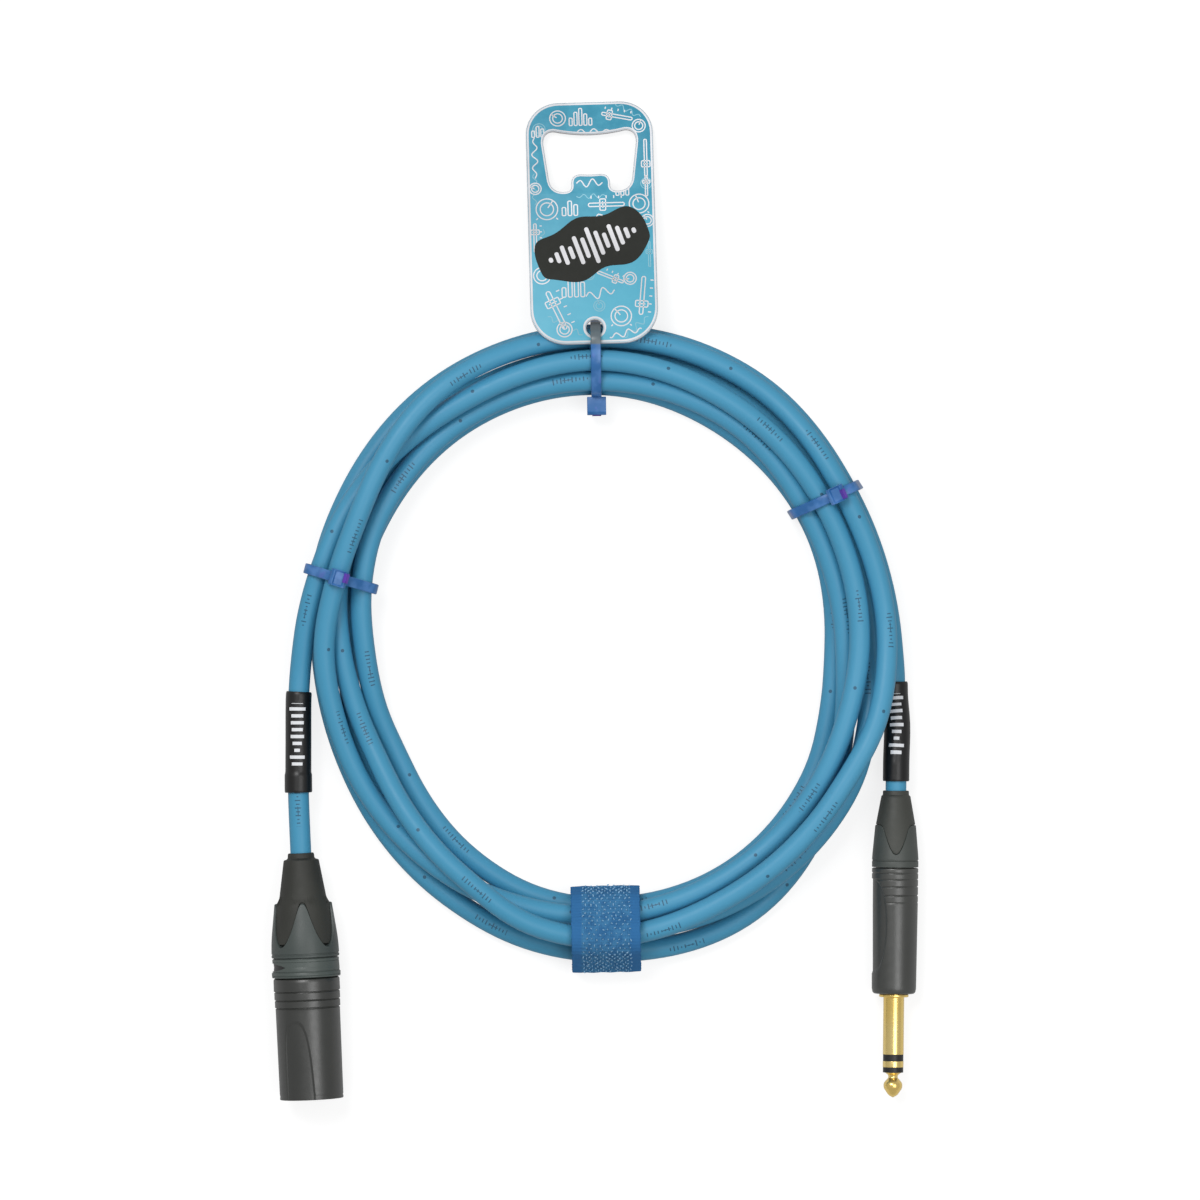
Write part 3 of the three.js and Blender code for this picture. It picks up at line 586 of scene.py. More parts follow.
def xlrBushingSection(angle):
    edge = fingerEdge(angle)
    wall = lambda s: np.interp(s, [14.8, 25, 28.4], [8.7, 10.02, 10.3])
    line = [(edge, wall(edge) - 0.5), (edge + 0.08, wall(edge) - 0.16), (edge + 0.3, wall(edge + 0.3))]
    spread(line, edge + 0.6, 29.2, 8, wall)
    line += [(30.5, 10.34), (30.62, 10.16), (30.9, 10.16), (31.02, 10.36), (31.6, 10.34), (31.78, 10.1)]
    return line + [(31.8, 8.42), (37.6, 8.42), (37.6, 7.75), (edge, 7.75)]


def xlrBootSection(angle):
    edge = min(27.7, fingerEdge(angle) - 0.3)
    wall = lambda s: np.interp(s, [2.4, 14, 15.2, 27.4], [5.42, 7.25, 8.1, 9.72])
    line = [(0, 3.45), (0.02, 3.8), (0.3, 4.0), (1.5, 4.12), (1.85, 4.5), (2.0, 5.05), (2.15, 5.32)]
    spread(line, 2.4, edge - 0.35, 16, wall)
    line += [(edge - 0.1, wall(edge) - 0.14), (edge, wall(edge) - 0.5), (edge + 0.05, 7.55), (28.2, 7.5)]
    return line + [(28.2, 6.0), (14, 6.0), (13.5, 3.45)]


evenAngles = evenTurn(192)
fineAngles = [(-70 + i) * radians for i in range(101)] + [(31 + 5 * i) * radians for i in range(52)]
plugPiece("xlr", "Bushing", xlrBushingSection, evenAngles, bushingFinish, "xlr_bushing", "hard_plastic", "xlr_cap")
plugPiece("xlr", "Boot", xlrBootSection, evenAngles, rubberFinish, "xlr_boot", "soft_rubber", "xlr_cap")


codingSettings = {
    "back": [
        (31.9, 8.8), (31.9, 9.7), (32.08, 9.75), (32.1, 10.05), (32.25, 10.18), (32.9, 10.2),
        (33.0, 10.1), (33.1, 10.2)],
    "notch": {"at": 34.55, "half": 1.22, "depth": 0.36, "inside": (33.2, 35.84), "radii": (9.4, 10.12)},
    "front": [
        (35.85, 10.26), (35.95, 10.14), (36.1, 10.14), (36.2, 10.42), (36.4, 10.5), (37.1, 10.5),
        (37.2, 10.38), (37.3, 10.5), (37.62, 10.48), (37.8, 10.3), (37.8, 8.8)],
}


def codingSection(angle):
    notch = codingSettings["notch"]
    wedge = max(0, min(1, (-38 - signedDegrees(angle)) / 36))  # a pointed notch at the left
    half = notch["half"] * wedge ** 0.6 + 0.001
    deep = notch["depth"] * smooth(wedge, 0, 0.12)
    at = notch["at"]
    sides = [(at - half - 0.06, 10.24), (at - half, 10.24 - deep), (at, 10.1 - deep),
             (at + half, 10.24 - deep), (at + half + 0.06, 10.26)]
    return codingSettings["back"] + sides + codingSettings["front"]


codingAngles = [(-100 + i) * radians % (2 * math.pi) for i in range(61)]
codingAngles += [(-40 + 4 * i) * radians % (2 * math.pi) for i in range(1, 75)]
xlrCoding = plugPiece(
    "xlr", "CodingRing", codingSection, codingAngles, collarFinish,
    "xlr_coding_ring", "collar_grey", "xlr_collar")
xlrCoding.data.materials.append(blackFinish.material)
toPlug = plugPlace["xlr"].inverted()
for polygon in xlrCoding.data.polygons:  # painted shade: the inside of the notch takes the black insulation finish
    x, y, z = toPlug @ polygon.center / mm
    (start, end), (low, high) = codingSettings["notch"]["inside"], codingSettings["notch"]["radii"]
    if start < -y < end and low < math.hypot(x, z) < high:
        polygon.material_index = 1


def shellSection(settings):
    def section(angle):
        degrees = signedDegrees(angle)
        line = list(settings["neck"])
        for s in settings["spots"]:
            radius = np.interp(s, *zip(*settings["wall"]))
            sunk = 0
            for groove, depth in settings["grooves"]:
                sunk = max(sunk, depth * (1 - smooth(abs(s - groove), 0.06, 0.26)))
            left, right = settings["recess"](s)
            if abs(degrees) < 125:  # the sunk panel is on the upper side
                x = radius * (math.sin(angle) if abs(degrees) < 90 else -1)
                inside = min(x - left, right - x)
                sunk = max(sunk, settings["depth"] * smooth(inside, -0.1, 0.34))
            line.append((s, radius - sunk))
        return line + list(settings["end"])
    return section


def xlrRecess(s):
    if s < 51.2:
        return 99, -99
    left = through([(51.2, -3.7), (51.8, -5.3), (53, -6.3), (55.5, -6.9), (62, -7.1), (76, -7.1)], s)
    right = through([(51.2, -3.7), (51.8, -2.2), (53, -1.3), (56, -0.3), (62, 0.6), (70, 1.2), (76, 1.5)], s)
    return left, right


def jackRecess(s):
    keys = [(28.2, -7.2), (29.5, -5.0), (33, -3.6), (38, -2.8), (43, -2.6), (48, -2.9), (53, -3.9), (56, -5.2)]
    return -12, through([*keys, (57.2, -7.2)], s)


shellSettings = {
    "xlr": {
        "neck": [(33, 6.7), (33, 7.5), (37.9, 7.5), (37.9, 9.5)],
        "wall": [
            (38.1, 9.8), (38.5, 10.1), (41.9, 10.14), (42.5, 10.04), (44.5, 10.04), (45, 9.98), (46.8, 9.98),
            (47.6, 9.84), (74.9, 9.7)],
        "grooves": [(42.2, 0.34), (44.75, 0.3), (47.15, 0.34), (74.1, 0.12)],
        "spots": sorted([
            38.2, 38.35, *np.arange(38.6, 41.9, 0.8), *np.arange(41.85, 47.6, 0.09),
            *np.arange(48, 75.05, 0.45)]),
        "recess": xlrRecess,
        "depth": 0.42,
        "end": [(75.1, 9.55), (75.1, 8.75), (74.8, 8.55), (39.5, 8.5), (39.5, 6.7)],
    },
    "jack": {
        "neck": [(21.2, 4.75), (21.2, 5.35), (25.0, 5.35), (25.05, 6.7)],
        "wall": [(25.05, 6.9), (25.3, 7.08), (36, 7.05), (62, 6.78), (63, 6.55), (63.4, 6.15)],
        "grooves": [(26.6, 0.2), (28.5, 0.2), (30.7, 0.22), (33.4, 0.24), (35.6, 0.1)],
        "spots": sorted([
            25.1, 25.3, *np.arange(25.6, 36, 0.1), *np.arange(36.4, 62, 0.5),
            62.2, 62.5, 62.8, 63.0, 63.2, 63.4]),
        "recess": jackRecess,
        "depth": 0.3,
        "end": [(63.5, 5.8), (63.5, 3.5), (61.5, 3.5), (61.5, 4.75)],
    },
}
plugPiece(
    "xlr", "Shell", shellSection(shellSettings["xlr"]), fineAngles, shellFinish,
    "xlr_shell", "shell_metal", sharp=50)
jackAngles = [(-125 + i * 1.5) * radians for i in range(91)] + [(12 + 5 * i) * radians for i in range(45)]
jackShell = plugPiece(
    "jack", "Shell", shellSection(shellSettings["jack"]), jackAngles, jackShellFinish,
    "jack_shell", "shell_metal", sharp=50)


def rubberEdge(angle):  # where the jack's rubber tongues end, at an angle from their middle
    away = abs(angle / radians) % 180
    return through([
        (0, 20.8), (6, 20.55), (11, 19.8), (18, 18.3), (29, 15.4), (37, 13.4), (45, 12.3), (58, 11.9),
        (90, 11.9),
    ], min(away, 180 - away))


def jackBushingSection(angle):
    edge = rubberEdge(angle)
    wall = lambda s: np.interp(s, [11.8, 20.5, 22.6], [6.2, 6.98, 7.12])
    line = [(edge, wall(edge) - 0.4), (edge + 0.06, wall(edge) - 0.12), (edge + 0.25, wall(edge + 0.25))]
    spread(line, edge + 0.4, 22.35, 10, wall)
    return line + [(22.5, 7.08), (22.56, 6.96), (22.84, 6.94), (22.86, 5.6), (edge, 5.6)]


def jackBootSection(angle):
    edge = rubberEdge(angle) - 0.07
    wall = lambda s: np.interp(s, [3.1, 11.7, 21], [4.45, 6.02, 6.82])
    line = [(1.4, 3.4), (1.42, 3.85), (1.7, 3.98), (2.7, 4.02), (2.95, 4.3)]
    spread(line, 3.1, edge - 0.3, 18, wall)
    line += [(edge - 0.08, wall(edge) - 0.1), (edge, wall(edge) - 0.4)]
    return line + [(edge + 0.02, 5.3), (edge + 0.02, 4.8), (11.7, 3.4)]


jackBushing = plugPiece(
    "jack", "Bushing", jackBushingSection, evenAngles, jackFinish, "jack_bushing", "hard_plastic", "jack_cap")
jackBoot = plugPiece(
    "jack", "Boot", jackBootSection, evenAngles, jackRubberFinish, "jack_boot", "soft_rubber", "jack_cap")
ring = constant([(22.9, 5.75, 0), (22.9, 7.1, 0.2), (24.8, 7.1, 0.2), (24.8, 5.75, 0)])
jackCoding = plugPiece(
    "jack", "CodingRing", ring, evenTurn(72), jackFinish, "jack_coding_ring", "collar_grey", "jack_collar")


def collar(start, end, radius, fillet=0):  # the outline of a short solid length of the plug's shaft
    return [(start, 0, 0), (start, radius, fillet), (end, radius, fillet), (end, 0, 0)]


jackContacts = [
    ("SleeveContact", "jack_sleeve_contact", goldFinish, "gold", [
        (61.5, 0, 0), (61.5, 3.15, 0), (63.7, 3.15, 0), (63.7, 4.5, 0.2), (64.5, 4.5, 0.25),
        (64.6, 3.175, 0.1), (82.1, 3.175, 0.15), (82.1, 0, 0)]),
    ("InsulatorA", "jack_insulator_1", blackFinish, "insulation", collar(82.1, 84.1, 3.12)),
    ("Ring", "jack_ring", goldFinish, "gold", collar(84.1, 86.0, 3.175, 0.12)),
    ("InsulatorB", "jack_insulator_2", blackFinish, "insulation", collar(86.0, 87.6, 3.12)),
    ("Tip", "jack_tip", goldFinish, "gold", [
        (87.6, 0, 0), (87.6, 2.6, 0.3), (88.4, 1.5, 0.5), (89.2, 1.4, 0.6), (90.9, 2.9, 1.0),
        (92.4, 2.85, 1.2), (94.6, 1.35, 1.2), (95.3, 0, 0)]),
]
jackPieces = [
    plugPiece("jack", name, constant(points, 6), evenTurn(64), look, node, slotName)
    for name, node, look, slotName, points in jackContacts
]
insert = constant([
    (44.3, 0, 0), (44.3, 8.15, 0.3), (59.5, 8.15, 0.5), (59.5, 7.2, 0.2), (58.9, 7.0, 0.2), (58.9, 0, 0)])
plugPiece("xlr", "Insert", insert, evenTurn(72), blackFinish, "xlr_insert", "insulation")
pinSettings = {
    "outline": [(40.3, 0, 0), (40.3, 1.2, 0.1), (72.2, 1.2, 0.7), (73.2, 0.35, 0.3), (73.2, 0, 0)],
    "turns": (45, 135, 270),
    "circle": 5.75,
}
pinOutline = constant(pinSettings["outline"], 4)
for number, turn in enumerate(pinSettings["turns"], 1):
    across = Vector((math.cos(turn * radians), 0, math.sin(turn * radians))) * pinSettings["circle"] * mm
    place = plugPlace["xlr"] @ Matrix.Translation(across)
    pin = turned(f"xlrPin{number}", pinOutline, evenTurn(24), place, goldFinish)
    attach(pin, "cable")
    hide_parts(f"xlr_pin_{number}")
wireColours = {1: (186, 52, 46), 2: (228, 226, 218), 3: (36, 38, 42)}
for number, colour in wireColours.items():
    wireFinish = mouldedLook(f"wire{number}", colour, 0.45)
    for plug in plugSettings:
        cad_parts[f"{plug}_wire_{number}"].data.materials[0] = wireFinish.material
for node in ("xlr_chuck", "jack_chuck"):
    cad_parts[node].data.materials[0] = bushingFinish.material
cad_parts["jack_lug_block"].data.materials[0] = blackFinish.material
print("plugs made")


# sections across the coil: x runs outwards from its centre, y is up, and z is along the cord

def sectionBasis(angle):
    out = Vector((math.sin(angle * radians), math.cos(angle * radians), 0))
    up = Vector((0, 0, 1))
    along = out.cross(up)
    centre = Vector((*cordSettings["centre"], 0))
    return Matrix(((out.x, up.x, along.x, centre.x), (out.y, up.y, along.y, centre.y),
                   (out.z, up.z, along.z, 0), (0, 0, 0, 1)))


denseLine = np.concatenate([
    cordLine[:-1] + (cordLine[1:] - cordLine[:-1]) * share for share in np.arange(0, 1, 0.2)])


def strandsWithin(angle, halfWidth, skew=0.0, middle=0.0):
    inverse = np.array(sectionBasis(angle).inverted())
    local = denseLine @ inverse[:3, :3].T + inverse[:3, 3]
    near = (local[:, 0] > 60) & (np.abs(local[:, 2] - skew * (local[:, 0] - middle)) <= halfWidth + 0.5)
    near &= np.abs(local[:, 2]) < 30
    return [(x, y, cordSettings["radius"]) for x, y, _ in local[near]]


def hullOutline(circles, offset, spacing=0.3):
    # the convex outline round circles (x, y, radius), anticlockwise from the lowest left, evenly spaced
    turn = np.arange(90) / 90 * 2 * math.pi
    wide = [(x, y, r + offset) for x, y, r in circles]
    points = np.concatenate([np.stack([x + r * np.cos(turn), y + r * np.sin(turn)], 1) for x, y, r in wide])
    points = points[np.lexsort((points[:, 1], points[:, 0]))]

    def chain(ordered):
        kept = []
        for p in ordered:
            while len(kept) > 1:
                a, b = kept[-2], kept[-1]
                if (b[0] - a[0]) * (p[1] - a[1]) - (b[1] - a[1]) * (p[0] - a[0]) > 1e-4:
                    break
                kept.pop()
            kept.append(p)
        return kept[:-1]

    return respaced(np.array(chain(points) + chain(points[::-1])), spacing)


def respaced(loop, spacing):  # a closed line cut into even steps
    ring = np.vstack([loop, loop[:1]])
    length = lengths(ring)
    even = np.linspace(0, length[-1], max(12, round(length[-1] / spacing)), endpoint=False)
    return np.stack([np.interp(even, length, ring[:, k]) for k in range(2)], 1)


def outwards(line, closed=True):  # unit normals to the right of an anticlockwise line
    ahead = np.roll(line, -1, 0) - np.roll(line, 1, 0)
    if not closed:
        ahead[0], ahead[-1] = line[1] - line[0], line[-1] - line[-2]
    ahead /= np.linalg.norm(ahead, axis=1)[:, None]
    return np.stack([ahead[:, 1], -ahead[:, 0]], 1)


def roundedBar(thickness, width, corner, across=1):
    # the section of a band: (through its thickness, across its width)
    h, w = thickness / 2, width / 2
    points = []
    for sideways, through_, start in ((w, h, 0), (-w, h, 1), (-w, -h, 2), (w, -h, 3)):
        for k in range(4):
            turn = (start + k / 3) * math.pi / 2
            centreW = sideways - math.copysign(corner, sideways)
            centreH = through_ - math.copysign(corner, through_)
            points.append((centreH + corner * math.sin(turn), centreW + corner * math.cos(turn)))
        if across > 1 and start in (0, 2):
            inner = w - corner
            steps = np.linspace(inner, -inner, across + 1)[1:-1] * (1 if start == 0 else -1)
            points += [(through_, z) for z in steps]
    return points


def bandMesh(name, line, section, angle, look, closed=True, skew=0.0, middle=0.0, shape=None):
    basis = sectionBasis(angle)
    vertices = []
    for i, ((x, y), normal) in enumerate(zip(line, outwards(line, closed))):
        for through_, across in section:
            if shape:
                through_, across = shape(i / (len(line) - 1), through_, across)
            spot = Vector((x + normal[0] * through_, y + normal[1] * through_, across + skew * (x - middle)))
            vertices.append(basis @ spot * mm)
    return finishMesh(name, newMesh(name, vertices, ringFaces(len(line), len(section), closed), look), 45)


# ties

def tieLook():
    look = Look("tieNylon", paint(62, 98, 172), 0.34)
    _, y, z = look.axes(look.place())
    patches = look.noise(260, 2, 0.4)
    base = look.mix(patches.ramp(0.4, 0.66), paint(44, 104, 166), paint(76, 128, 190))
    # painted sheen: violet patches laid by noise stand in for the violet sheen of lit nylon
    violetSheen = look.noise(330, 1, 0.4).ramp(0.6, 0.74)
    overTag = y.ramp(0.0776, 0.0782) * z.ramp(0.0116, 0.012)
    blue = look.mix(violetSheen * 0.45, base, paint(98, 112, 196))
    look.give("Base Color", look.mix(overTag, blue, paint(98, 110, 116)))
    look.bump(look.noise(1200, 2), 0.00004, 0.6)
    return look


wrapGap = 0.35  # between the cord and what is wrapped round it
tieFinish = tieLook()
violetFinish = mouldedLook("tieCutEnd", (104, 66, 186), 0.4)
sideTie = {"width": 3.1, "thickness": 1.15, "head": (5.4, 3.4, 5.0), "tail": (1.7, 1.5, 2.9)}
tieSettings = {
    "topTie": {
        "angle": 359.2, "width": 3.1, "thickness": 1.1, "node": "top_tie", "skew": 0.0, "headAt": 80,
        "head": (6.0, 5.6, 5.8), "tail": (1.3, 1.5, 2.7)},
    "rightTie": {**sideTie, "angle": 57, "node": "right_tie", "skew": 0.16, "headAt": 86.0, "tailSide": 2.1},
    "leftTie": {**sideTie, "angle": 285, "node": "left_tie", "skew": 0.03, "headAt": 82.5, "tailSide": -2.1},
}
headSettings = {"shoulder": (0.9, 1.0), "pocket": (0.85, 0.75), "bevel": 0.22}
tagSettings = {
    "hinge": (0, 79.15, 18.09),
    "tilt": 13.26,
    "lean": 1.6,
    "thickness": 1.6,
    "width": 39,
    "rim": 1.15,
    "length": 75.4,
    "loop": 1.75,
}


def headBlock(length, height, width):  # a tie's head: shoulders cut off, and a pocket in its top
    work = bmesh.new()
    half, top = length / 2, height
    cutX, cutY = headSettings["shoulder"]
    outline = [(-half, 0), (half, 0), (half, top - cutY), (half - cutX, top),
               (cutX - half, top), (-half, top - cutY)]
    for side in (-width / 2, width / 2):
        for x, y in outline:
            work.verts.new((x, y, side))
    work.verts.ensure_lookup_table()
    for face in ringFaces(2, len(outline), False):
        work.faces.new([work.verts[i] for i in face])
    bmesh.ops.recalc_face_normals(work, faces=work.faces)
    work.faces.ensure_lookup_table()
    lid = max(work.faces, key=lambda face: face.calc_center_median().y - abs(face.normal.x))
    wall, deep = headSettings["pocket"]
    bmesh.ops.inset_region(work, faces=[lid], thickness=wall)
    for vertex in lid.verts:
        vertex.co.y -= deep
    edges = [e for e in work.edges if not any(f is lid for f in e.link_faces)]
    bmesh.ops.bevel(work, geom=edges, offset=headSettings["bevel"], segments=3, profile=0.6, affect="EDGES",
                    clamp_overlap=True)
    return work


def addHead(name, angle, size, place, look):
    work = headBlock(*size)
    bmesh.ops.transform(work, matrix=place, verts=work.verts)
    bmesh.ops.transform(work, matrix=Matrix.Scale(mm, 4) @ sectionBasis(angle), verts=work.verts)
    mesh = bpy.data.meshes.new(name)
    work.to_mesh(mesh)
    work.free()
    mesh.materials.append(look.material)
    return finishMesh(name, mesh, 40)


def joined(name, *objects):
    bpy.ops.object.select_all(action="DESELECT")
    for each in objects:
        each.select_set(True)
    bpy.context.view_layer.objects.active = objects[0]
    bpy.ops.object.join()
    objects[0].name = name
    return objects[0]


def levelled(line, low):
    line = line.copy()
    line[:, 1] = np.maximum(line[:, 1], low)
    return line


def tieLine(settings, circles):
    half = settings["thickness"] / 2
    line = levelled(hullOutline(circles, wrapGap + half), half)
    for _ in range(4):
        line = (np.roll(line, 1, 0) + 2 * line + np.roll(line, -1, 0)) / 4
    return line


def makeTie(name):
    settings = tieSettings[name]
    angle, skew, half = settings["angle"], settings["skew"], settings["thickness"] / 2
    middle = settings["headAt"]
    circles = strandsWithin(angle, settings["width"] / 2, skew, middle)
    if name == "topTie":
        _, y, z = tagSettings["hinge"]
        circles.append((y - cordSettings["centre"][1], z, tagSettings["loop"]))
    line = tieLine(settings, circles)
    section = roundedBar(settings["thickness"], settings["width"], 0.34)
    band = bandMesh(name, line, section, angle, tieFinish, skew=skew, middle=middle)
    if name == "topTie":
        spot = (line[:, 0].min() - half + 0.9, 7.4, 0)
        place = Matrix.Translation(spot) @ Matrix.Rotation(math.pi / 2, 4, "Z")
        tailPlace = place @ Matrix.Translation((0.2, 4.4, 0))
    else:
        upper = line[line[:, 1] > line[:, 1].mean()]
        left, right = (np.interp(middle + d, *upper[np.argsort(upper[:, 0])].T) for d in (-2, 2))
        slope = math.atan2(right - left, 4)
        place = Matrix.Translation((middle, (left + right) / 2 - 0.4, 0)) @ Matrix.Rotation(slope, 4, "Z")
        place @= Matrix.Rotation(-math.atan(skew), 4, "Y")
        tailPlace = place @ Matrix.Translation((settings["tailSide"], 2.6, 0.6))
    head = addHead("head", angle, settings["head"], place, tieFinish)
    tail = addHead("tail", angle, settings["tail"], tailPlace, violetFinish)
    tie = joined(name, band, head, tail)
    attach(tie, "cable")
    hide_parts(settings["node"])


for name in tieSettings:
    makeTie(name)
print("ties made")


# repeats: one small object set at the vertices of a mesh, turned and scaled by its attributes

def repeatGroup():
    group = bpy.data.node_groups.new("repeatOnPoints", "GeometryNodeTree")
    for label, kind in (("Geometry", "Geometry"), ("Item", "Object"), ("Finish", "Material")):
        group.interface.new_socket(label, in_out="INPUT", socket_type=f"NodeSocket{kind}")
    group.interface.new_socket("Geometry", in_out="OUTPUT", socket_type="NodeSocketGeometry")
    start, end = (group.nodes.new(f"NodeGroup{kind}") for kind in ("Input", "Output"))
    item, place, real, finish, turn, size = (group.nodes.new(f"GeometryNode{kind}") for kind in (
        "ObjectInfo", "InstanceOnPoints", "RealizeInstances", "SetMaterial",
        "InputNamedAttribute", "InputNamedAttribute"))
    for node, kind, name in ((turn, "FLOAT_VECTOR", "turn"), (size, "FLOAT", "size")):
        node.data_type = kind
        node.inputs["Name"].default_value = name
    for source, leaving, target, entering in (
            (start, "Item", item, "Object"), (start, "Geometry", place, "Points"),
            (item, "Geometry", place, "Instance"), (turn, "Attribute", place, "Rotation"),
            (size, "Attribute", place, "Scale"), (place, "Instances", real, "Geometry"),
            (real, "Geometry", finish, "Geometry"), (start, "Finish", finish, "Material"),
            (finish, "Geometry", end, "Geometry")):
        group.links.new(source.outputs[leaving], target.inputs[entering])
    return group


repeatOnPoints = repeatGroup()


def repeated(name, item, spots, turns, sizes, look):  # spots in metres, and turns as Euler angles
    mesh = bpy.data.meshes.new(name + "Spots")
    mesh.from_pydata([tuple(spot) for spot in spots], [], [])
    layers = (("turn", "FLOAT_VECTOR", "vector", turns), ("size", "FLOAT", "value", sizes))
    for label, kind, field, values in layers:
        layer = mesh.attributes.new(label, kind, "POINT")
        layer.data.foreach_set(field, np.array(values, float).ravel())
    carrier = linked(name + "Carrier", mesh)
    modifier = carrier.modifiers.new("repeat", "NODES")
    modifier.node_group = repeatOnPoints
    given = {"Item": item, "Finish": look.material}
    for socket in repeatOnPoints.interface.items_tree:
        if socket.in_out == "INPUT" and socket.name in given:
            modifier[socket.identifier] = given[socket.name]
    bpy.context.view_layer.update()
    evaluated = carrier.evaluated_get(bpy.context.evaluated_depsgraph_get())
    real = bpy.data.meshes.new_from_object(evaluated)
    real.name = name
    piece = linked(name, real)
    bpy.data.objects.remove(carrier)
    bpy.data.objects.remove(item)
    real.shade_smooth()
    return piece


# strap

strapSettings = {
    "angle": 178.8,
    "width": 20.8,
    "thickness": 1.2,
    "flap": 1.0,
    "inner": 75,
    "outer": 97,
    "tip": 5.6,
    "flapFoot": 8,
    "flapGap": 0.2,
    "selvedge": 0.14,
}
hookSettings = {"pitch": (1.7, 1.42), "strays": (0.12, 0.1), "sizes": (0.7, 1.15), "wave": 0.25, "sunk": 0.02}


def strapLook(name):
    look = Look(name, paint(60, 118, 172), 0.85, Specular_IOR_Level=0.25)
    x, y, z = look.axes(look.place())
    threads = (y * 14000).op("SINE") * 0.5 + 0.5
    warp = (x * 11000).op("SINE") * 0.5 + 0.5
    middle = 1 - abs(x - 0.0033).ramp(0.0069, 0.0079)
    patches = look.noise(420, 3)
    plain = look.mix(threads * 0.6, paint(46, 108, 164), paint(58, 122, 178))
    fuzzy = look.mix(patches.ramp(0.3, 0.7), paint(52, 112, 164), paint(72, 136, 184))
    look.give("Base Color", look.mix(middle, plain, fuzzy))
    look.bump(threads * 0.5 + middle * (warp * threads + patches), 0.00025, 0.7)
    return look


strapFinish = strapLook("strapFabric")
hookFinish = mouldedLook("strapHooks", (140, 188, 222), 0.5)
strapCircles = strandsWithin(strapSettings["angle"], 11)
strapCircles += [(strapSettings[side], strapSettings["tip"], 0.4) for side in ("inner", "outer")]
half = strapSettings["thickness"] / 2
bandLine = levelled(hullOutline(strapCircles, wrapGap + half, 0.5), half)
bandSection = roundedBar(strapSettings["thickness"], strapSettings["width"], 0.45, across=16)


def frayed(share, through_, across):  # selvedges that wander a little
    edge = abs(across) / (strapSettings["width"] / 2)
    wander = 0.14 * math.sin(share * 61) + 0.1 * math.sin(share * 143 + 1)
    thinner = 1 - 0.25 * smooth(edge, 0.7, 1)
    return through_ * thinner, across + math.copysign(wander, across) * smooth(edge, 0.8, 1)


strapBand = bandMesh("strapBand", bandLine, bandSection, strapSettings["angle"], strapFinish, shape=frayed)
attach(strapBand, "cable")
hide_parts("strap_band")


def openAbove(loop, height):  # the part of a closed outline above a height, from its inner to its outer end
    above = loop[:, 1] > height
    start = next(i for i in range(len(loop)) if above[i] and not above[i - 1])
    line = np.roll(loop, -start, 0)
    line = line[:next(i for i in range(len(line)) if line[i, 1] <= height)]
    return line if line[0, 0] < line[-1, 0] else line[::-1]


flapStart = wrapGap + strapSettings["thickness"] + strapSettings["flapGap"]
flapLoop = hullOutline(strapCircles, flapStart + strapSettings["flap"] / 2, 0.4)
flapLine = openAbove(flapLoop, strapSettings["flapFoot"])
flapSection = roundedBar(strapSettings["flap"], strapSettings["width"], 0.4, across=20)


def flapShape(share, through_, across):
    through_, across = frayed(share * 0.7 + 0.2, through_, across)
    edge = abs(across) / (strapSettings["width"] / 2)
    nap = 0.09 * math.sin(across * 5.1 + 3 * math.sin(share * 90)) * (1 - smooth(edge, 0.66, 0.78))
    return through_ + (nap if through_ > 0 else 0), across


strapFlap = bandMesh(
    "strapFlap", flapLine[::-1], flapSection, strapSettings["angle"], strapFinish,
    closed=False, shape=flapShape)
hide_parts("strap_flap")
print("strap made")


def hookItem():  # one hook: a short thread bent over
    line = [(-0.06, 0, -0.15), (0, 0, 0.16), (0.08, 0, 0.33), (0.22, 0, 0.4), (0.36, 0, 0.33), (0.42, 0, 0.2)]
    return tubeAlong("hookItem", line, [0.16, 0.16, 0.18, 0.19, 0.18, 0.12], 6, hookFinish)


def hookField():
    rng = np.random.default_rng(7)
    basis = sectionBasis(strapSettings["angle"])
    normals = outwards(flapLine[::-1], False)[::-1]
    length = lengths(flapLine)
    half = strapSettings["width"] / 2 * (1 - 2 * strapSettings["selvedge"])
    offset = strapSettings["flap"] / 2 - hookSettings["sunk"]
    pitchAcross, pitchAlong = hookSettings["pitch"]
    strayAcross, strayAlong = hookSettings["strays"]
    spots, turns, sizes = [], [], []
    for row, at in enumerate(np.arange(0.8, length[-1] - 0.6, pitchAlong)):
        shift = (row % 2) * pitchAcross / 2
        for across in np.arange(-half + shift, half, pitchAcross):
            s = at + rng.normal(0, strayAlong) + hookSettings["wave"] * math.sin(across * 0.8)
            side = across + rng.normal(0, strayAcross)
            x, y, nx, ny = (np.interp(s, length, column) for column in (*flapLine.T, *normals.T))
            spots.append(basis @ Vector((x + nx * offset, y + ny * offset, side)) * mm)
            up = (basis.to_3x3() @ Vector((nx, ny, 0))).normalized()
            spin = Matrix.Rotation(rng.uniform(0, 2 * math.pi), 3, up)
            turns.append(tuple((spin @ up.to_track_quat("Z", "Y").to_matrix()).to_euler()))
            sizes.append(rng.uniform(*hookSettings["sizes"]))
    return spots, turns, sizes


strapHooks = repeated("strapHooks", hookItem(), *hookField(), hookFinish)
strapBasis = sectionBasis(strapSettings["angle"])
for piece in (strapFlap, strapHooks):
    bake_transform(piece)
print("hooks made")


# tag

tagPlace = (Matrix.Translation(Vector(tagSettings["hinge"]) * mm)
            @ Matrix.Rotation(tagSettings["lean"] * radians, 4, "Z")
            @ Matrix.Rotation(-tagSettings["tilt"] * radians, 4, "X"))


def arc(centre, radius, start, end, count=14):
    turn = np.linspace(start, end, count) * radians
    return np.stack([centre[0] + radius * np.cos(turn), centre[1] + radius * np.sin(turn)], 1)


def quadratic(start, control, end, count=9):
    t = np.linspace(0, 1, count)[1:, None]
    return (1 - t) ** 2 * np.array(start) + 2 * t * (1 - t) * np.array(control) + t ** 2 * np.array(end)


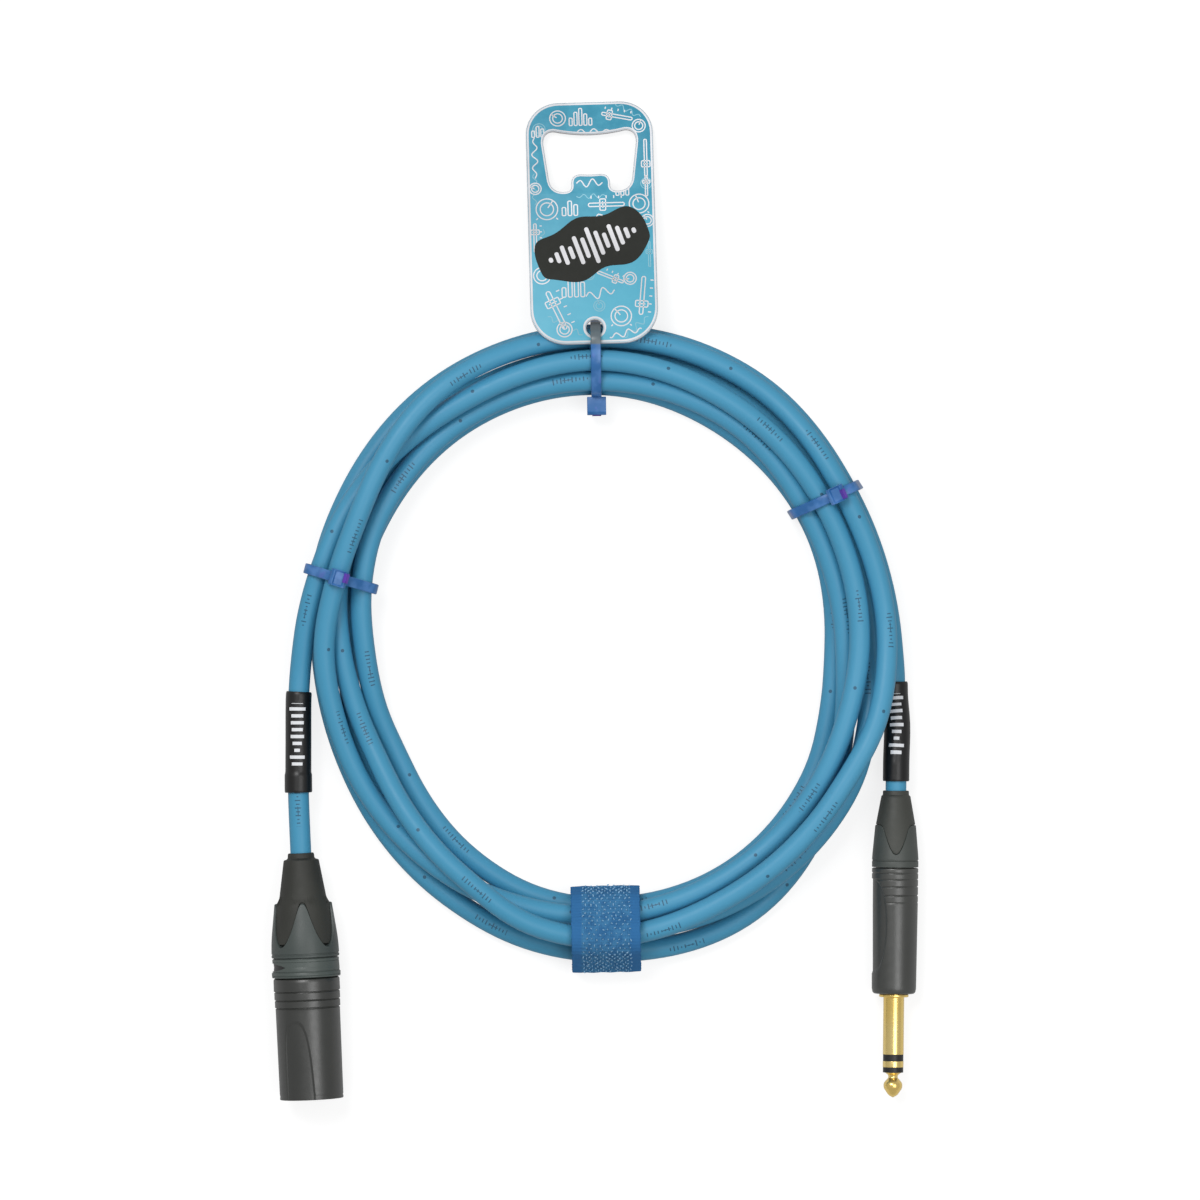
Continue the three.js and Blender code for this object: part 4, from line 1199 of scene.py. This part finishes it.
def plateLoop():
    s = tagSettings
    half, low, high = s["width"] / 2, 11, 10
    return respaced(np.concatenate([
        arc((half - low, low - s["rim"]), low, -90, 0),
        arc((half - high, s["length"] - high), high, 0, 90),
        arc((high - half, s["length"] - high), high, 90, 180),
        arc((low - half, low - s["rim"]), low, 180, 270),
    ]), 0.7)


def mouthLoop():
    bottom, top = 47.0, 66.4
    left = [
        (-6, bottom + 2.4), (-5.6, bottom), (-8.2, bottom), (-12.4, bottom), (-12.8, bottom + 4.5),
        (-13.5, bottom + 10), (-14.2, top - 4), (-14.4, top), (-11, top)]
    step = [(6, bottom + 5.5), (3, bottom + 5.5), (0, bottom + 5.2), (-3, bottom + 5.5), (-6, bottom + 5.5)]
    outline = [*left, (0, top - 2.6), *((-x, y) for x, y in left[::-1]), *step, left[0]]
    curves = [quadratic(*outline[i:i + 3]) for i in range(0, len(outline) - 1, 2)]
    return respaced(np.concatenate(curves)[::-1], 0.5)


tagLoops = [plateLoop(), arc((0, 3.8), 2.6, 0, 360, 49)[:-1], mouthLoop()]


def grown(loop, distance):  # an anticlockwise loop, wider all round
    return loop + outwards(loop) * distance


def plateMesh():
    # rings of vertices from the top face over the rounded edge to the bottom face, for each loop
    half = tagSettings["thickness"] / 2
    soft = 0.38
    turns = [t * math.pi / 8 for t in range(5)]
    steps = [(-soft * (1 - math.sin(turn)), half - soft * (1 - math.cos(turn))) for turn in turns]
    profile = steps + [(inset, -height) for inset, height in steps[::-1]]
    vertices, faces, caps = [], [], {0: [], len(profile) - 1: []}
    for number, loop in enumerate(tagLoops):
        sign = 1 if number == 0 else -1
        count, start = len(loop), len(vertices)
        for level, (inset, height) in enumerate(profile):
            line = grown(loop, sign * inset)
            if level in caps:
                caps[level].append((start + level * count, line))
            vertices += [(x, y, height) for x, y in line]
        for level in range(len(profile) - 1):
            a, b = start + level * count, start + (level + 1) * count
            for k in range(count):
                n = (k + 1) % count
                face = (a + k, b + k, b + n, a + n)
                faces.append(face if number == 0 else face[::-1])
    flats = []
    for level, parts in caps.items():
        lines = [[Vector((x, y, 0)) for x, y in line] for _, line in parts]
        indices = np.concatenate([np.arange(len(line)) + start for start, line in parts])
        for triangle in tessellate_polygon(lines):
            face = [int(indices[i]) for i in triangle]
            a, b, c = (Vector(vertices[i]) for i in face)
            upward = (b - a).cross(c - a).z > 0
            flats.append(face if upward == (level == 0) else face[::-1])
    return vertices, faces, flats


def tagLook():
    look = Look("tagPrinted", paint(80, 166, 192), 0.38, Specular_IOR_Level=0.3)
    _, y, _ = look.axes(look.place())
    tone = look.mix((y * 16.0 - 1.35).ramp(0.0, 1.0), paint(88, 174, 200), paint(54, 142, 170))
    mottle = look.noise(160, 4, 0.6).ramp(0.35, 0.75) * 0.4
    look.give("Base Color", look.mix(mottle, tone, paint(98, 184, 208)))
    look.give("Roughness", look.noise(400, 3) * 0.12 + 0.34)
    return look


printFinish = tagLook()
whiteFinish = mouldedLook("tagWhite", (236, 236, 240), 0.4)
paleFinish = mouldedLook("tagPale", (140, 200, 218), 0.4)
darkFinish = mouldedLook("tagDark", (36, 38, 33), 0.5, Specular_IOR_Level=0.2)


def tagPiece(name, vertices, faces, look, sharp=35):
    placed = [tagPlace @ (Vector(v) * mm) for v in vertices]
    piece = finishMesh(name, newMesh(name, placed, faces, look), sharp)
    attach(piece, "tag")
    return piece


plateVertices, plateSides, plateFlats = plateMesh()
tag = tagPiece("tag", plateVertices, plateSides + plateFlats, printFinish, 50)
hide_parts("tag")
tag.data.materials.append(whiteFinish.material)
tagNormal = (tagPlace.to_3x3() @ Vector((0, 0, 1))).normalized()
for polygon in tag.data.polygons:
    polygon.material_index = 0 if abs(polygon.normal.dot(tagNormal)) > 0.97 else 1


def merged(parts):  # the vertices and faces of several meshes as one
    vertices, faces = [], []
    for partVertices, partFaces in parts:
        faces += [tuple(len(vertices) + i for i in face) for face in partFaces]
        vertices += partVertices
    return vertices, faces


def ribbonStrip(points, width, top, closed):  # a thin raised line on the tag: its vertices and faces
    points = np.array(points, float)
    low = tagSettings["thickness"] / 2 - 0.1
    vertices, faces = [], []
    for (x, y), (nx, ny) in zip(points, outwards(points, closed)):
        for side, z in ((0.5, top), (-0.5, top), (-0.5, low), (0.5, low)):
            vertices.append((x + nx * width * side, y + ny * width * side, z))
    count = len(points)
    for i in range(count if closed else count - 1):
        j = (i + 1) % count
        faces += [(i * 4 + k, i * 4 + (k + 1) % 4, j * 4 + (k + 1) % 4, j * 4 + k) for k in range(4)]
    if not closed:
        faces += [(0, 1, 2, 3), tuple(count * 4 - 1 - k for k in range(4))]
    return vertices, faces


def inLoop(loop, x, y):
    ax, ay = loop.T
    bx, by = np.roll(loop, -1, 0).T
    crosses = ((ay > y) != (by > y)) & (x < (bx - ax) * (y - ay) / (by - ay + 1e-12) + ax)
    return crosses.sum() % 2 == 1


def turnedLine(points, centre, degrees):
    c, s = math.cos(degrees * radians), math.sin(degrees * radians)
    x, y = np.array(points, float).T
    return np.stack([centre[0] + c * x - s * y, centre[1] + s * x + c * y], 1)


badge = {"centre": (0.0, 29.8), "length": 35.5, "height": 17.6, "turn": 19}


def badgeLoop(margin=0.0):
    r, half = badge["height"] / 2, badge["length"] / 2
    bumps = []
    for t in np.linspace(0, 2 * math.pi, 120, endpoint=False):
        c, s = math.cos(t), math.sin(t)
        square = 1 / (abs(c) ** 3.2 + abs(s) ** 3.2) ** (1 / 3.2)
        bumps.append((half * c * square, r * s * square * (1 + 0.11 * math.cos(7 * t + 1))))
    return turnedLine(grown(respaced(np.array(bumps), 0.5), margin), badge["centre"], badge["turn"])


allowedLoops = (grown(tagLoops[0], -0.5), grown(tagLoops[1], 0.75), grown(tagLoops[2], 0.4), badgeLoop(-0.2))


def allowed(x, y):
    plate, hole, mouth, pill = allowedLoops
    return inLoop(plate, x, y) and not (inLoop(hole, x, y) or inLoop(mouth, x, y) or inLoop(pill, x, y))


def clipped(line, closed):
    # the runs of a line that stay on the printed face
    line = np.array(line, float)
    if closed:
        line = np.vstack([line, line[:1]])
    steps = [line[:1]]
    for a, b in zip(line[:-1], line[1:]):
        count = max(1, round(float(np.linalg.norm(b - a)) / 0.25))
        steps.append(a + (b - a) * (np.arange(1, count + 1) / count)[:, None])
    line = np.concatenate(steps)
    keep = [allowed(x, y) for x, y in line]
    if all(keep) and closed:
        return [(line[:-1], True)]
    runs, run = [], []
    for point, kept in zip(line, keep):
        if kept:
            run.append(point)
        elif run:
            runs.append(run)
            run = []
    runs.append(run)
    return [(run, False) for run in runs if len(run) > 3]


def roundedBox(width, height, corner):
    w, h = width / 2 - corner, height / 2 - corner
    return np.concatenate([arc((w, -h), corner, -90, 0, 5), arc((w, h), corner, 0, 90, 5),
                           arc((-w, h), corner, 90, 180, 5), arc((-w, -h), corner, 180, 270, 5)])


def setAt(centre, degrees, closed, lines):  # lines of a motif, turned and moved to where it is
    return [(turnedLine(line, centre, degrees), closed) for line in lines]


def knob(centre, radius, pointer):  # a round knob with a pointer and end marks
    circles = [arc((0, 0), radius, 0, 360, 33)[:-1], arc((0, 0), radius * 0.62, 0, 360, 25)[:-1]]
    mark = [(0, radius * 1.2), (0, radius * 1.42)]
    return (setAt(centre, 0, True, circles)
            + setAt(centre, pointer, False, [[(0, radius * 0.15), (0, radius * 0.98)]])
            + setAt(centre, -135, False, [mark]) + setAt(centre, 135, False, [mark]))


def fader(centre, width, height, level, degrees=0.0):  # a slot with a handle on it, and scale marks
    slot = roundedBox(width * 0.3, height, width * 0.15)
    handle = roundedBox(width, height * 0.16, 0.35) + (0, height * level)
    cap = [(-width * 0.3, height * level), (width * 0.3, height * level)]
    marks = [[(width * 0.55, y), (width * 0.8, y)] for y in np.linspace(-0.42, 0.42, 5) * height]
    return setAt(centre, degrees, True, [slot, handle]) + setAt(centre, degrees, False, [cap, *marks])


def wave(centre, length, height, cycles, degrees=0.0):
    x = np.linspace(-length / 2, length / 2, round(length * 4))
    y = height / 2 * np.sin(x / length * 2 * math.pi * cycles) * np.cos(x / length * math.pi) ** 0.5
    return setAt(centre, degrees, False, [np.stack([x, np.nan_to_num(y)], 1)])


def meter(centre, heights, pitch):  # level bars, as open outlines
    first = (1 - len(heights)) / 2
    return setAt(centre, 0, True, [
        roundedBox(pitch * 0.62, height, pitch * 0.2) + ((first + i) * pitch, height / 2)
        for i, height in enumerate(heights)])


boldMotifs = [
    *fader((-11.5, 9.5), 4.4, 13, 0.2, 24), *knob((8.2, 7.2), 3.1, 40),
    *meter((-6.2, 13.6), [3, 5.4, 7.2, 4.6], 1.9),
    *fader((14.8, 13.5), 3.8, 12, -0.22, -6), *wave((2.0, 14.6), 9, 3.2, 2, 12), *knob((-15.6, 20.6), 2.6, -60),
    *knob((14.6, 42.6), 3.0, 20), *fader((4.6, 42.6), 3.6, 11, 0.1, 90), *knob((-13.6, 41.6), 3.3, -35),
    *meter((-6.6, 39.4), [2.6, 4.6, 3.4], 1.8), *wave((-0.4, 49.6), 8, 2.6, 2),
    *fader((17.0, 57), 2.6, 12, -0.15), *wave((-16.9, 58), 13, 1.8, 3, 90), *knob((-9.6, 70.4), 2.4, 55),
    *meter((-2.6, 68.0), [2.4, 4.2, 5.4, 3.6, 2.2], 1.5),
    *fader((8.6, 70.6), 3.0, 9.5, 0.25, 78), *knob((15.2, 67.4), 2.0, -20), *knob((11.2, 19.0), 1.9, 100),
    *knob((-9.2, 3.4), 2.3, 15), *wave((9.4, 1.8), 10, 2.0, 2.5, 14), *fader((5.2, 19.6), 2.6, 8.5, -0.2, 66),
    *wave((-8.6, 21.4), 9, 2.4, 2.5, 10), *fader((-17.4, 32.6), 2.6, 9, 0.2), *knob((17.0, 37.2), 1.9, 30),
    *wave((-2.4, 37.6), 12, 2.4, 3, 16), *meter((9.6, 45.4), [2.2, 3.6, 2.8], 1.5),
    *knob((-17.0, 48.2), 1.8, 70), *fader((17.0, 48.2), 2.2, 6.5, 0.2),
    *meter((-15.8, 64.6), [2.0, 3.4, 2.6], 1.4), *wave((0.4, 66.0), 12, 1.6, 3),
]
faintMotifs = [
    *wave((-9, 4.6), 12, 2.0, 4, -30), *knob((1.6, 10.6), 1.7, 10), *wave((12.6, 3.6), 10, 2.0, 3, 40),
    *meter((9.2, 36.4), [2, 3.4, 2.6], 1.5), *wave((-17.2, 48), 10, 1.8, 3, 90), *knob((17.0, 49.0), 1.7, 60),
    *wave((12.0, 72.4), 9, 1.6, 3, -30), *knob((-15.4, 67.0), 1.9, 10), *wave((-15.6, 31.4), 8, 1.8, 2, 80),
    *knob((-1.2, 20.4), 1.5, 80), *fader((17.3, 26.5), 2.0, 8, 0.1), *wave((0, 45.4), 9, 1.4, 3),
]


def printLines(name, motifs, width, top, look):
    runs = [run for line, closed in motifs for run in clipped(line, closed)]
    return tagPiece(name, *merged(ribbonStrip(run, width, top, whole) for run, whole in runs), look)


faceTop = tagSettings["thickness"] / 2
printLines("tagFaintLines", faintMotifs, 0.26, faceTop + 0.02, paleFinish)
printLines("tagLines", boldMotifs, 0.36, faceTop + 0.03, whiteFinish)
borders = zip(tagLoops, (-0.62, 0.62, 0.5), (0.56, 0.56, 0.4))
borderStrips = [ribbonStrip(grown(loop, inset), width, faceTop + 0.04, True) for loop, inset, width in borders]
tagPiece("tagBorder", *merged(borderStrips), whiteFinish)


def slab(loop, bottom, top):  # a flat solid over a loop that bulges round its middle
    centre = loop.mean(0)
    count = len(loop)
    vertices = [(x, y, z) for z in (bottom, top) for x, y in loop] + [(*centre, bottom), (*centre, top)]
    faces = [(k, (k + 1) % count, count + (k + 1) % count, count + k) for k in range(count)]
    faces += [((k + 1) % count, k, 2 * count) for k in range(count)]
    faces += [(count + k, count + (k + 1) % count, 2 * count + 1) for k in range(count)]
    return vertices, faces


tagPiece("tagBadge", *slab(badgeLoop(), faceTop - 0.1, faceTop + 0.06), darkFinish)
barSettings = {
    "heights": [1.6, 3.6, 6.4, 4.2, 9.4, 6.8, 12.0, 8.0, 5.0, 9.0, 6.2, 3.6, 1.8],
    "width": 1.3,
    "pitch": 2.25,
}


def badgeBar(number, height):
    x = (number - (len(barSettings["heights"]) - 1) / 2) * barSettings["pitch"]
    outline = roundedBox(barSettings["width"], height, 0.6) + (x, 0)
    return slab(turnedLine(outline, badge["centre"], badge["turn"]), faceTop - 0.05, faceTop + 0.09)


bars = merged(badgeBar(number, height) for number, height in enumerate(barSettings["heights"]))
tagPiece("tagBars", *bars, whiteFinish)
print("tag made")


# the jack's pieces gathered in a list, and the lengths of the strap's band and flap

jackTrain = [cordEnds["jack"], sleeves["jack"], jackBoot, jackBushing, jackCoding, jackShell, *jackPieces]
jackInside = ("jack_chuck", "jack_lug_block", "jack_wire_1", "jack_wire_2", "jack_wire_3")
jackTrain += [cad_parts[node] for node in jackInside]


def lineLength(line, closed):
    return float(lengths(line)[-1]) + closed * float(np.linalg.norm(line[-1] - line[0]))


bandLength, flapLength = lineLength(bandLine, True), lineLength(flapLine, False)
print("strap lengths", round(bandLength, 1), round(flapLength, 1))


# floor, lights and world

floorMesh = bpy.data.meshes.new("floor")
floorMesh.from_pydata([(-4, -4, 0), (4, -4, 0), (4, 4, 0), (-4, 4, 0)], [], [(0, 1, 2, 3)])
floor = linked("floor", floorMesh)
floor.location.z = -0.0003


def floorLook():
    look = Look("floorWhite", paint(150, 150, 150), 0.9, Emission_Strength=1.0, Specular_IOR_Level=0.0)
    path = look.node("ShaderNodeLightPath")
    direct, mirrored, clear = (
        Value(look, path.outputs[f"Is {kind} Ray"]) for kind in ("Camera", "Glossy", "Transmission"))
    seen = (direct + mirrored * 0.4 + clear).op("MINIMUM", 1)
    look.give("Emission Color", look.mix(seen, paint(0, 0, 0), paint(229, 229, 229)))
    return look


floorMesh.materials.append(floorLook().material)
world = bpy.data.worlds.new("world")
bpy.context.scene.world = world
world.use_nodes = True
background = world.node_tree.nodes["Background"]
background.inputs["Color"].default_value = (1, 1, 1, 1)
background.inputs["Strength"].default_value = 0.46
lampSettings = {
    "key": {"place": (-0.5, 0.7, 1.7), "size": 0.7, "power": 15.0},
    "fill": {"place": (0.7, -0.2, 1.9), "size": 1.0, "power": 9.5},
}
for name, settings in lampSettings.items():
    lamp = bpy.data.lights.new(name, "AREA")
    lamp.energy = settings["power"]
    lamp.size = settings["size"]
    lampObject = linked(name, lamp)
    lampObject.location = settings["place"]
    lampObject.rotation_euler = (-Vector(settings["place"])).to_track_quat("-Z", "Y").to_euler()
bpy.context.scene.view_settings.view_transform = "Standard"
